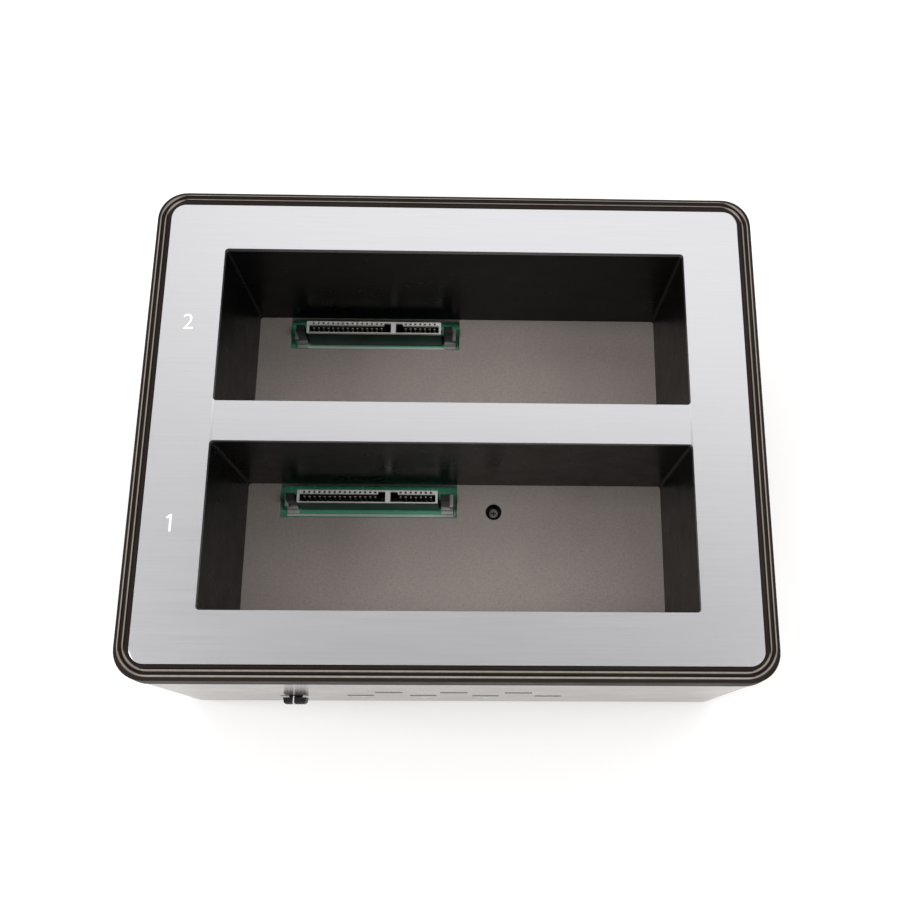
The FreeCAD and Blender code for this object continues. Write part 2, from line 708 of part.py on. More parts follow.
def front_board_guides(body):
    """Two slotted ribs behind the front wall, which the front board's ends slide into from below."""
    face = front_board_face()
    front = inner_half_depth(size.guide_foot)
    back = face - size.board_thickness - size.guide_gap - size.guide_wall
    end = size.front_board_width / 2 + size.guide_gap
    width = size.guide_bite + size.guide_gap + size.guide_wall
    slot_top = size.front_board_foot + size.front_board_height + size.guide_gap
    for side in (-1, 1):
        rib = sketch_on(body, "XY_Plane", size.guide_foot)
        rib_middle = size.front_board_shift + side * (end + size.guide_wall - width / 2)
        draw_rectangle(rib, width, front - back, rib_middle, -(front + back) / 2)
        pad(body, rib, slot_top + size.guide_wall - size.guide_foot)
        slot = sketch_on(body, "XY_Plane", size.guide_foot)
        slot_middle = size.front_board_shift + side * (end - width / 2)
        draw_rectangle(slot, width, size.board_thickness + 2 * size.guide_gap, slot_middle,
                       size.board_thickness / 2 - face)
        pocket(body, slot, slot_top - size.guide_foot, reverse=True)


def rear_openings(body):
    """The holes for the power jack and the power switch, through the rear wall."""
    hole = wall_sketch(body, 1, size.rear_level)
    draw_circle(hole, size.jack_mouth, size.jack_x, size.rear_level)
    cut_wall(body, hole, 1)
    opening = wall_sketch(body, 1, size.rear_level)
    around = 2 * size.well_gap
    width = size.frame_width + around
    draw_rectangle(opening, width, size.frame_height + around, size.rocker_x, size.rear_level)
    cut_wall(body, opening, 1)


def front_board_face():
    """Distance of the front board's front face in front of the middle."""
    return casing_half_depth(size.slider_level) - size.front_board_inset


def base_cover():
    """The plate that closes the casing, with posts for the boards, screw holes and vents."""
    body = new_body("base_cover")
    inset = 2 * (size.casing_wall + size.cover_gap)
    spread = 2 * tangent(size.casing_draft) * (size.shoulder_level - COVER_TOP) - inset
    plate = sketch_on(body, "XY_Plane", size.foot_height)
    corner = size.casing_corner - size.casing_wall - size.cover_gap
    draw_rounded_rectangle(plate, SHOULDER_WIDTH + spread, SHOULDER_DEPTH + spread, corner)
    pad(body, plate, size.cover_thickness)
    posts = sketch_on(body, "XY_Plane", size.foot_height)
    for x, y in chassis_screw_places():
        draw_rectangle(posts, size.chassis_boss, size.chassis_boss, x, y)
    pad(body, posts, BOARD_UNDERSIDE - size.foot_height)
    pilots = sketch_on(body, "XY_Plane", BOARD_UNDERSIDE)
    for x, y in chassis_screw_places():
        draw_circle(pilots, size.small_shank + size.thread_gap, x, y)
    pocket(body, pilots, size.small_length - size.board_thickness)
    holes = sketch_on(body, "XY_Plane", size.foot_height)
    draw_corner_circles(holes, size.large_shank + size.head_gap, CORNER_SCREW_X, CORNER_SCREW_Y)
    pocket(body, holes, size.cover_thickness, reverse=True)
    heads = sketch_on(body, "XY_Plane", size.foot_height)
    draw_corner_circles(heads, size.large_head + size.head_gap, CORNER_SCREW_X, CORNER_SCREW_Y)
    pocket(body, heads, size.large_head_height, reverse=True)
    vent = sketch_on(body, "XY_Plane", size.foot_height)
    first = -((size.vent_count - 1) * size.vent_pitch / 2)
    draw_rectangle(vent, size.vent_width, size.vent_length, first, size.vent_middle)
    slot = pocket(body, vent, size.cover_thickness, reverse=True)
    repeat(body, [slot], vent, "H_Axis", size.vent_count, size.vent_pitch)


def outer_screw_places():
    """Where the tray is screwed down beside the wells, at two opposite corners."""
    return [(side * CHASSIS_SCREW_X, side * size.chassis_screw_y) for side in (-1, 1)]


def chassis_screw_places():
    """Where the tray, the main board and the cover's posts are screwed together."""
    return outer_screw_places() + [(size.bay_screw_x, size.bay_screw_y)]


def trim_ring():
    """The moulded ring round the deck: two beads on its top, and a side that leans out to its foot."""
    body = new_body("trim_ring")
    path = sketch_on(body, "XY_Plane", size.shoulder_level)
    draw_rounded_rectangle(path, RING_WIDTH, RING_DEPTH, RING_CORNER)
    section = sketch_on(body, "XZ_Plane")
    inner = RING_WIDTH / 2
    top = size.deck_level
    crest = top + size.bead_rise
    slope = (size.bead_width - size.bead_crest) / 2
    outline = [(inner + size.ring_foot, size.shoulder_level), (inner, size.shoulder_level), (inner, top)]
    edge = inner + size.band_inner
    for gap in (size.band_between, 0):
        outline += [(edge, top), (edge + slope, crest), (edge + slope + size.bead_crest, crest),
                    (edge + size.bead_width, top)]
        edge = edge + size.bead_width + gap
    outline.append((edge + size.band_outer, top - size.band_drop))
    draw_outline(section, outline)
    sweep = body.newObject("PartDesign::AdditivePipe", "Sweep")
    sweep.Profile = section
    sweep.Spine = path
    document.recompute()


def deck_plate():
    """The brushed plate, with an opening over each bay."""
    body = new_body("deck_plate")
    outline = sketch_on(body, "XY_Plane", PLATE_UNDERSIDE)
    draw_rounded_rectangle(outline, size.plate_width, size.plate_depth, size.plate_corner)
    pad(body, outline, size.plate_thickness)
    for side in (-1, 1):
        opening = sketch_on(body, "XY_Plane", size.deck_level)
        draw_rectangle(opening, size.bay_width, size.bay_depth, 0, side * size.bay_pitch / 2)
        pocket(body, opening, size.plate_thickness)
    inside_bays = FreeCAD.BoundBox(-half(size.bay_width), -half(size.plate_depth), 0,
                                   half(size.bay_width), half(size.plate_depth), size.deck_level.value)
    inside_bays.enlarge(TINY)
    round_edges(body, "Fillet", size.bay_corner,
                lambda edge: upright(edge) and inside_bays.isInside(edge.CenterOfMass))


def half(length):
    return length.value / 2


def wells():
    """The walls of each bay, with a flange that the deck plate clamps on the casing's seat."""
    for name, side in BAYS:
        body = new_body(name + "_well")
        walls = sketch_on(body, "XY_Plane", FLOOR_LEVEL)
        draw_rectangle(walls, WELL_WIDTH, WELL_DEPTH)
        pad(body, walls, PLATE_UNDERSIDE - FLOOR_LEVEL)
        flange = sketch_on(body, "XY_Plane", SEAT_LEVEL)
        draw_rectangle(flange, WELL_WIDTH + 2 * size.flange_width, WELL_DEPTH + 2 * size.flange_width)
        pad(body, flange, size.flange_thickness)
        hollow = sketch_on(body, "XY_Plane", PLATE_UNDERSIDE)
        draw_rounded_rectangle(hollow, size.bay_width, size.bay_depth, size.bay_corner)
        pocket(body, hollow, PLATE_UNDERSIDE - FLOOR_LEVEL)
        bind(body, "Placement.Base.y", side * size.bay_pitch / 2)


def bay_tray():
    """The tray that floors both bays: a cut-out for each receptacle, ears beside the wells, bosses below."""
    body = new_body("bay_tray")
    plate = sketch_on(body, "XY_Plane", TRAY_UNDERSIDE)
    margins = 2 * size.tray_margin
    draw_rectangle(plate, WELL_WIDTH + margins, size.bay_pitch + WELL_DEPTH + margins)
    pad(body, plate, size.tray_thickness)
    ears = sketch_on(body, "XY_Plane", TRAY_UNDERSIDE)
    reach = CHASSIS_SCREW_X - WELL_WIDTH / 2
    for side in (-1, 1):
        middle = side * (CHASSIS_SCREW_X - reach / 2)
        draw_rectangle(ears, reach, size.chassis_boss, middle, side * size.chassis_screw_y)
    pad(body, ears, size.tray_thickness)
    bosses = sketch_on(body, "XY_Plane", BOARD_TOP)
    holes = sketch_on(body, "XY_Plane", FLOOR_LEVEL)
    for x, y in chassis_screw_places():
        draw_rectangle(bosses, size.chassis_boss, size.chassis_boss, x, y)
        draw_circle(holes, size.small_shank + size.head_gap, x, y)
    pad(body, bosses, FLOOR_LEVEL - BOARD_TOP)
    pocket(body, holes, FLOOR_LEVEL - BOARD_TOP)
    well = sketch_on(body, "XY_Plane", FLOOR_LEVEL)
    draw_circle(well, size.screw_well, size.bay_screw_x, size.bay_screw_y)
    pocket(body, well, size.screw_well_depth)
    for side in (-1, 1):
        port = sketch_on(body, "XY_Plane", FLOOR_LEVEL)
        rear_wall = side * size.bay_pitch / 2 + size.bay_depth / 2
        draw_rectangle(port, PORT_WIDTH, PORT_DEPTH, size.connector_shift, rear_wall - PORT_DEPTH / 2)
        pocket(body, port, size.tray_thickness)


def screw(head, head_height, shank, length, x, y, z, head_up):
    """A pan-head screw; z is the underside of its head."""
    shank_foot = z - length if head_up else z
    head_foot = z if head_up else z - head_height
    return fused([rod(head, head_height, x, y, head_foot), rod(shank, length, x, y, shank_foot)])


def chassis_screws():
    """Screws down through the tray and the main board into the cover's posts; the bay's head is sunk."""
    places = [(x, y, FLOOR_LEVEL) for x, y in outer_screw_places()]
    places.append((size.bay_screw_x, size.bay_screw_y, FLOOR_LEVEL - size.screw_well_depth))
    head = (size.small_head, size.small_head_height)
    screws = [screw(*head, size.small_shank, size.small_length, *place, True) for place in places]
    keep(gathered(screws), "chassis_screws")


def casing_screws():
    """Screws up through the base cover into the casing's bosses."""
    seat = size.foot_height + size.large_head_height
    screws = [screw(size.large_head, size.large_head_height, size.large_shank, size.large_length,
                    side * CORNER_SCREW_X, end * CORNER_SCREW_Y, seat, False)
              for side in (-1, 1) for end in (-1, 1)]
    keep(gathered(screws), "casing_screws")


def rubber_feet():
    """Four round feet under the base cover, narrower where they stand."""
    feet = [cone(size.foot_radius - size.foot_taper, size.foot_radius, size.foot_height,
                 side * size.foot_x, end * size.foot_y)
            for side in (-1, 1) for end in (-1, 1)]
    keep(gathered(feet), "rubber_feet")


# Receptacles. Each is modelled about the middle of its bay and then moved there.

def slot_segments():
    """The two runs of the drive slot, each with its key notch: left end, right end, notch middle."""
    notch = size.key_margin + size.key_width / 2
    key = size.key_margin + size.key_width
    power = (FIRST_POWER - size.slot_end, LAST_POWER + key, LAST_POWER + notch)
    signal = (FIRST_SIGNAL - key, LAST_SIGNAL + size.slot_end, FIRST_SIGNAL - notch)
    return power, signal


def cut_slot(body, top, depth):
    """Cuts both runs of the drive slot, and their key notches, down from a level."""
    notch_depth = size.rim_depth - size.rim_lip - size.key_wall
    for left, right, notch in slot_segments():
        run = sketch_on(body, "XY_Plane", top)
        draw_rectangle(run, right - left, size.slot_depth, (left + right) / 2, SLOT_MIDDLE)
        pocket(body, run, depth)
        key = sketch_on(body, "XY_Plane", top)
        draw_rectangle(key, size.key_width, notch_depth, notch, SLOT_FRONT + notch_depth / 2)
        pocket(body, key, depth)


def receptacle_body(name):
    """The black moulding: slot walls, a foot and a guide post at each end."""
    body = new_body(name + "_sata_body")
    middle = size.connector_shift
    tower = sketch_on(body, "XY_Plane", BOARD_TOP)
    draw_rectangle(tower, RIM_WIDTH, size.rim_depth, middle, RIM_MIDDLE)
    pad(body, tower, RIM_UNDERSIDE - BOARD_TOP)
    foot = sketch_on(body, "XY_Plane", BOARD_TOP)
    depth = size.rim_depth - 2 * size.post_inset
    draw_rectangle(foot, 2 * POST_REACH, depth, middle, RIM_MIDDLE)
    pad(body, foot, size.slot_floor)
    post_middle = POST_REACH - size.post_width / 2
    for side in (-1, 1):
        post = sketch_on(body, "XY_Plane", BOARD_TOP)
        draw_rectangle(post, size.post_width, depth, middle + side * post_middle, RIM_MIDDLE)
        pad(body, post, size.connector_height - size.post_drop)
    cut_slot(body, RIM_UNDERSIDE, RIM_UNDERSIDE - BOARD_TOP - size.slot_floor)
    return body


def receptacle_rim(name):
    """The light rim on the moulding, with a square hole behind each contact."""
    body = new_body(name + "_sata_rim")
    plate = sketch_on(body, "XY_Plane", RIM_UNDERSIDE)
    draw_rectangle(plate, RIM_WIDTH, size.rim_depth, size.connector_shift, RIM_MIDDLE)
    pad(body, plate, size.rim_thickness)
    top = RIM_UNDERSIDE + size.rim_thickness
    cut_slot(body, top, size.rim_thickness)
    for start, count in ((FIRST_POWER, size.power_contacts), (FIRST_SIGNAL, size.signal_contacts)):
        hole = sketch_on(body, "XY_Plane", top)
        draw_rectangle(hole, size.peep_size, size.peep_size, start, RIM_REAR - size.peep_inset)
        peep = pocket(body, hole, size.rim_thickness)
        repeat(body, [peep], hole, "H_Axis", count, size.contact_pitch)
    return body


def receptacle_contacts(name):
    """Twenty-two sprung strips that lean out from the slot's rear wall and bend back at their tips."""
    body = new_body(name + "_sata_contacts")
    wall = SLOT_FRONT + size.slot_depth
    foot = BOARD_TOP + size.slot_floor
    bend = RIM_UNDERSIDE - size.contact_bend
    edge = [(wall, foot), (wall - size.contact_bulge, bend), (wall - size.tip_stand, RIM_UNDERSIDE)]
    profile = edge + [(y - size.contact_sheet, z) for y, z in reversed(edge)]
    for start, count in ((FIRST_POWER, size.power_contacts), (FIRST_SIGNAL, size.signal_contacts)):
        sketch = sketch_on(body, "YZ_Plane", start - size.contact_width / 2)
        draw_outline(sketch, profile)
        strip = pad(body, sketch, size.contact_width)
        repeat(body, [strip], sketch, "N_Axis", count, size.contact_pitch)
    return body


def receptacle_tabs(name):
    """Bent metal hold-downs: an arm beside each guide post, turned in front of it, and a soldered foot."""
    arm = size.tab_sheet
    width = size.post_width + arm
    arm_face = RIM_FRONT + size.post_inset - arm
    parts = []
    for side in (-1, 1):
        outside = size.connector_shift + side * (POST_REACH + arm / 2)
        across = size.connector_shift + side * (POST_REACH + arm - width / 2)
        side_arm = block(arm, size.rim_depth, size.tab_height, outside, RIM_MIDDLE, BOARD_TOP)
        front_arm = block(width, arm, size.tab_step, across, arm_face + arm / 2, BOARD_TOP)
        foot_middle = arm_face - size.tab_foot / 2
        foot = block(width, size.tab_foot, size.tab_foot_sheet, across, foot_middle, BOARD_TOP)
        parts.append(fused([side_arm, front_arm, foot]))
    return keep(gathered(parts), name + "_hold_downs")


def receptacles():
    for name, side in BAYS:
        for make in (receptacle_body, receptacle_rim, receptacle_contacts, receptacle_tabs):
            bind(make(name), "Placement.Base.y", side * size.bay_pitch / 2)


# Boards and what they carry.

def main_board():
    """The board under both bays, behind the front board; its corners clear the casing's bosses."""
    body = new_body("main_board")
    side = INNER_HALF_WIDTH - size.board_gap
    front = front_board_face() - size.board_thickness - size.board_gap
    rear = SHOULDER_DEPTH / 2 - size.casing_wall - size.board_gap
    clear = size.corner_boss / 2 + size.board_gap
    notch_side = CORNER_SCREW_X - clear
    notch_end = CORNER_SCREW_Y - clear
    outline = sketch_on(body, "XY_Plane", BOARD_UNDERSIDE)
    draw_outline(outline, [
        (-notch_side, -front), (notch_side, -front), (notch_side, -notch_end), (side, -notch_end),
        (side, notch_end), (notch_side, notch_end), (notch_side, rear), (-notch_side, rear),
        (-notch_side, notch_end), (-side, notch_end), (-side, -notch_end), (-notch_side, -notch_end),
    ])
    pad(body, outline, size.board_thickness)
    holes = sketch_on(body, "XY_Plane", BOARD_TOP)
    for x, y in chassis_screw_places():
        draw_circle(holes, size.small_shank + size.head_gap, x, y)
    pocket(body, holes, size.board_thickness)


def board_parts():
    """The controller, its memory and crystal on the board; capacitors and coils under it."""
    chip = block(size.chip_side, size.chip_side, size.chip_height, size.chip_x, size.chip_y, BOARD_TOP)
    keep(chip, "controller_chip")
    body = new_body("controller_leads")
    first = size.chip_x - (size.lead_count - 1) * size.lead_pitch / 2
    for side in (-1, 1):
        row = sketch_on(body, "XY_Plane", BOARD_TOP)
        reach = (size.chip_side + size.lead_reach) / 2
        draw_rectangle(row, size.lead_width, size.lead_reach, first, size.chip_y + side * reach)
        lead = pad(body, row, size.lead_sheet)
        repeat(body, [lead], row, "H_Axis", size.lead_count, size.lead_pitch)
    aside = size.chip_x + size.chip_side
    memory = block(size.memory_width, size.memory_depth, size.memory_height, aside, size.chip_y, BOARD_TOP)
    keep(memory, "memory_chip")
    can = block(size.crystal_length, size.crystal_width, size.crystal_height, size.chip_x, 0, BOARD_TOP)
    keep(can, "crystal")
    columns = [size.supply_x + place * size.supply_pitch for place in range(int(size.supply_count.value))]
    low = BOARD_UNDERSIDE - size.can_height
    keep(gathered([rod(size.can_radius, size.can_height, x, size.can_y, low) for x in columns]), "capacitors")
    low = BOARD_UNDERSIDE - size.coil_height
    coil = (size.coil_side, size.coil_side, size.coil_height)
    keep(gathered([block(*coil, x, size.coil_y, low) for x in columns]), "coils")


def front_board():
    """The upright board behind the front wall, with the header that joins it to the main board."""
    face = -front_board_face()
    rear = face + size.board_thickness
    board = block(size.front_board_width, size.board_thickness, size.front_board_height,
                  size.front_board_shift, face + size.board_thickness / 2, size.front_board_foot)
    keep(board, "front_board")
    header = block(size.header_pins * size.header_pitch, size.header_depth, size.header_height,
                   size.header_x, rear + size.header_depth / 2, BOARD_TOP)
    keep(header, "board_header")
    first = size.header_x - (size.header_pins - 1) * size.header_pitch / 2
    body = new_body("header_pins")
    low = BOARD_TOP + size.header_height
    pin_y = rear + size.header_depth / 2
    profile = [
        (pin_y - size.pin_side / 2, low),
        (pin_y + size.pin_side / 2, low),
        (pin_y + size.pin_side / 2, low + 2 * size.pin_side),
        (rear, low + 2 * size.pin_side),
        (rear, low + size.pin_side),
        (pin_y - size.pin_side / 2, low + size.pin_side),
    ]
    sketch = sketch_on(body, "YZ_Plane", first - size.pin_side / 2)
    draw_outline(sketch, profile)
    pin = pad(body, sketch, size.pin_side)
    repeat(body, [pin], sketch, "N_Axis", size.header_pins, size.header_pitch)


def indicators():
    """Two light pipes, whose tips fill the windows, and a lamp behind each tip."""
    lamp_face = front_board_face() + size.led_height
    pipe_back = lamp_face + size.led_gap
    lamps = []
    rows = (("lower", size.lower_count, size.lower_level), ("upper", size.upper_count, size.upper_level))
    for name, count, level in rows:
        body = new_body(name + "_light_pipe")
        first = window_columns(count)
        length = (count - 1) * size.window_pitch + size.window_width + 2 * size.pipe_edge
        bar = sketch_on(body, "XZ_Plane", pipe_back)
        draw_rectangle(bar, length, size.window_height + 2 * size.pipe_edge, size.window_shift, level)
        top = level + size.window_height / 2 + size.pipe_edge
        pad(body, bar, inner_half_depth(top) - size.window_gap - pipe_back)
        tip = sketch_on(body, "XZ_Plane", pipe_back)
        width = size.window_width - 2 * size.window_gap
        height = size.window_height - 2 * size.window_gap
        draw_rectangle(tip, width, height, first, level)
        point = pad(body, tip, casing_half_depth(level) - pipe_back)
        repeat(body, [point], tip, "H_Axis", count, size.window_pitch)
        for column in range(int(count.value)):
            lamps.append(block(size.window_width / 2, size.led_height, size.window_height / 2,
                               first + column * size.window_pitch, size.led_height / 2 - lamp_face,
                               level - size.window_height / 4))
    keep(gathered(lamps), "indicator_lamps")


def slide_switch():
    """The switch on the front board, and the slider whose ribbed cap stands in front of the casing."""
    face = -front_board_face()
    track_middle = size.slider_x - size.slider_travel / 2
    low = size.slider_level - size.switch_height / 2
    case = block(size.switch_width, size.switch_depth, size.switch_height, track_middle,
                 face - size.switch_depth / 2, low)
    track_depth = size.switch_depth - size.switch_floor
    track = block(TRACK_WIDTH, track_depth, TRACK_HEIGHT, track_middle,
                  face - size.switch_floor - track_depth / 2, size.slider_level - TRACK_HEIGHT / 2)
    keep(cut(case, track), "slide_switch")
    body = new_body("mode_slider")
    cap_back = casing_half_depth(size.slider_level - size.cap_height / 2) + size.slider_gap
    cap_front = casing_half_depth(size.slider_level) + size.cap_proud
    rear = sketch_on(body, "XZ_Plane", cap_back)
    draw_rectangle(rear, size.cap_width, size.cap_height, size.slider_x, size.slider_level)
    front = sketch_on(body, "XZ_Plane", cap_front)
    taper = 2 * size.cap_taper
    draw_rectangle(front, size.cap_width - taper, size.cap_height - taper, size.slider_x, size.slider_level)
    loft(body, "AdditiveLoft", [rear, front])
    face_edges = -(cap_front.value - TINY)
    round_edges(body, "Chamfer", size.cap_edge, lambda edge: edge.BoundBox.YMax < face_edges)
    stem = sketch_on(body, "XZ_Plane", cap_back)
    draw_rectangle(stem, size.stem_width, size.stem_height, size.slider_x, size.slider_level)
    stem_end = front_board_face() + size.switch_depth - size.stem_bite
    pad(body, stem, cap_back - stem_end, reverse=True)
    pitch = (size.cap_width - taper) / size.grip_ribs
    groove = sketch_on(body, "XZ_Plane", cap_front)
    start = size.slider_x - (size.grip_ribs - 2) * pitch / 2
    draw_rectangle(groove, size.grip_width, size.cap_height, start, size.slider_level)
    valley = pocket(body, groove, size.grip_depth)
    repeat(body, [valley], groove, "H_Axis", size.grip_ribs - 1, pitch)


# Rear panel.

def power_jack():
    """The coaxial power jack under the board, its collar in the rear wall, and its centre pin."""
    front = rear_wall_inside() - size.well_gap
    collar_end = casing_half_depth(size.rear_level)
    top = BOARD_UNDERSIDE
    low = size.rear_level - size.jack_drop
    case = block(size.jack_width, size.jack_depth, top - low, size.jack_x, front - size.jack_depth / 2, low)
    collar = rod(size.jack_collar, collar_end - front + size.jack_drop, size.jack_x, front - size.jack_drop,
                 size.rear_level, "back")
    bore = rod(size.jack_bore, size.jack_bore_depth, size.jack_x, collar_end - size.jack_bore_depth,
               size.rear_level, "back")
    keep(cut(fused([case, collar]), bore), "power_jack")
    pin = rod(size.jack_pin, size.jack_bore_depth - size.jack_pin_inset, size.jack_x,
              collar_end - size.jack_bore_depth, size.rear_level, "back")
    keep(pin, "power_jack_pin")


def rear_wall_inside():
    """Depth at which the rear wall's inner face stands, at the top of the jack."""
    return inner_half_depth(BOARD_UNDERSIDE)


def bezel_face():
    """Depth of the power switch bezel's outer face."""
    return casing_half_depth(size.rear_level - size.bezel_height / 2) + size.bezel_proud


def power_switch():
    """The power switch: a bezel and body through the rear wall, a rocker on two pins, and terminals."""
    face = bezel_face()
    level = size.rear_level
    bezel = block(size.bezel_width, size.bezel_proud, size.bezel_height, size.rocker_x,
                  face - size.bezel_proud / 2, level - size.bezel_height / 2)
    case = block(size.frame_width, size.frame_reach + size.bezel_proud, size.frame_height, size.rocker_x,
                 face - (size.frame_reach + size.bezel_proud) / 2, level - size.frame_height / 2)
    inner_height = size.frame_height - 2 * size.frame_cheek
    depth = size.frame_reach + size.bezel_proud - size.frame_back
    hollow = block(size.frame_width - 2 * size.frame_side, depth, inner_height, size.rocker_x,
                   face - depth / 2, level - inner_height / 2)
    pivot = face - size.rocker_sink
    pin_reach = inner_height / 2 + size.rocker_pin_bite
    holes = rod(size.rocker_pin + size.rocker_pin_gap, 2 * pin_reach + 2 * size.rocker_pin_gap, size.rocker_x,
                pivot, level - pin_reach - size.rocker_pin_gap)
    keep(cut(fused([bezel, case]), fused([hollow, holes])), "power_switch_frame")
    rocker(pivot, inner_height, pin_reach)
    back = face - size.bezel_proud - size.frame_reach
    blades = [block(size.terminal_width, size.terminal_length, size.terminal_sheet,
                    size.rocker_x + side * size.terminal_pitch / 2, back - size.terminal_length / 2,
                    level - size.terminal_sheet / 2) for side in (-1, 1)]
    keep(gathered(blades), "power_switch_terminals")


def rocker(pivot, inner_height, pin_reach):
    """The rocker about its own pivot: ends on one circle, two finger faces in a shallow V, two pins."""
    body = new_body("power_rocker")
    reach = size.frame_width / 2 - size.frame_side - size.rocker_gap
    height = inner_height - 2 * size.rocker_gap
    disc = sketch_on(body, "XY_Plane", -height / 2)
    draw_circle(disc, reach)
    pad(body, disc, height)
    tail = sketch_on(body, "XY_Plane", height / 2)
    draw_rectangle(tail, 2 * reach, reach, 0, -size.rocker_tail - reach / 2)
    pocket(body, tail, height)
    faces = sketch_on(body, "XY_Plane", height / 2)
    end = size.rocker_middle + reach * tangent(size.rocker_tilt)
    beyond = 2 * reach
    draw_outline(faces, [(0, size.rocker_middle), (reach, end), (reach, beyond), (-reach, beyond), (-reach, end)])
    pocket(body, faces, height)
    pins = sketch_on(body, "XY_Plane", -pin_reach)
    draw_circle(pins, size.rocker_pin)
    pad(body, pins, 2 * pin_reach)
    body.Placement.Rotation = FreeCAD.Rotation(FreeCAD.Vector(0, 0, 1), size.rocker_tilt.value)
    bind(body, "Placement.Rotation.Angle", size.rocker_tilt)
    bind(body, "Placement.Base.x", size.rocker_x)
    bind(body, "Placement.Base.y", pivot)
    bind(body, "Placement.Base.z", size.rear_level)


# The build.

def check(thing):
    """Stops the build on a failed object or an unsound shape."""
    if {"Invalid", "Error"} & set(thing.State):
        raise RuntimeError(f"{thing.Label}: {thing.State}")


def export():
    """Checks everything, then writes each sub-part to its own file."""
    document.recompute()
    for thing in document.Objects:
        check(thing)
    for node in nodes:
        if node.Shape.isNull() or not node.Shape.isValid() or not node.Shape.Solids:
            raise RuntimeError(f"{node.Label}: unsound shape")
    os.makedirs("parts", exist_ok=True)
    for node in nodes:
        node.Shape.exportStep(f"parts/{node.Label}.step")


upper_housing()
base_cover()
trim_ring()
deck_plate()
wells()
bay_tray()
chassis_screws()
casing_screws()
rubber_feet()
receptacles()
main_board()
board_parts()
front_board()
indicators()
slide_switch()
power_jack()
power_switch()
export()
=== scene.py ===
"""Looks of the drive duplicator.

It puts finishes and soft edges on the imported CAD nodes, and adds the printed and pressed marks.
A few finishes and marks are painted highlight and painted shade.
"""

import json
import math

import bmesh
import bpy
from mathutils import Matrix, Vector


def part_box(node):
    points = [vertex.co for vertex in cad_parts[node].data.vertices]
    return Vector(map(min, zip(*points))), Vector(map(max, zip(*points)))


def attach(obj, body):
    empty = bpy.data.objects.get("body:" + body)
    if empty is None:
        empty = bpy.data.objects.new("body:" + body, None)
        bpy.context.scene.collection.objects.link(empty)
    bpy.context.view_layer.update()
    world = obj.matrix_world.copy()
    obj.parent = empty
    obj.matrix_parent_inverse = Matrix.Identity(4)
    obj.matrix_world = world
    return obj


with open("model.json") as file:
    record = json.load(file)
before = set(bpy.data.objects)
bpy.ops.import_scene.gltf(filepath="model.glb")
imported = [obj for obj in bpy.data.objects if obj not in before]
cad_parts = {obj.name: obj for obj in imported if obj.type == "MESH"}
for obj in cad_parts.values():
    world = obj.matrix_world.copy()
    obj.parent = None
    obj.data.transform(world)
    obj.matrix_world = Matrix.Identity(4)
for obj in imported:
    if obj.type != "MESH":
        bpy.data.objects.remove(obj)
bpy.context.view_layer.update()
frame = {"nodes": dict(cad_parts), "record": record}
nodes = frame["nodes"]

MM = 0.001
PRINT_LIFT = 0.02 * MM  # gap between a face and the marks printed on it
PRINT_THICKNESS = 0.01 * MM

# The Mix node's colour sockets, by place: it has others of the same names for other types.
MIX_FIRST, MIX_SECOND, MIX_COLOUR = 6, 7, 2


# Node graphs.

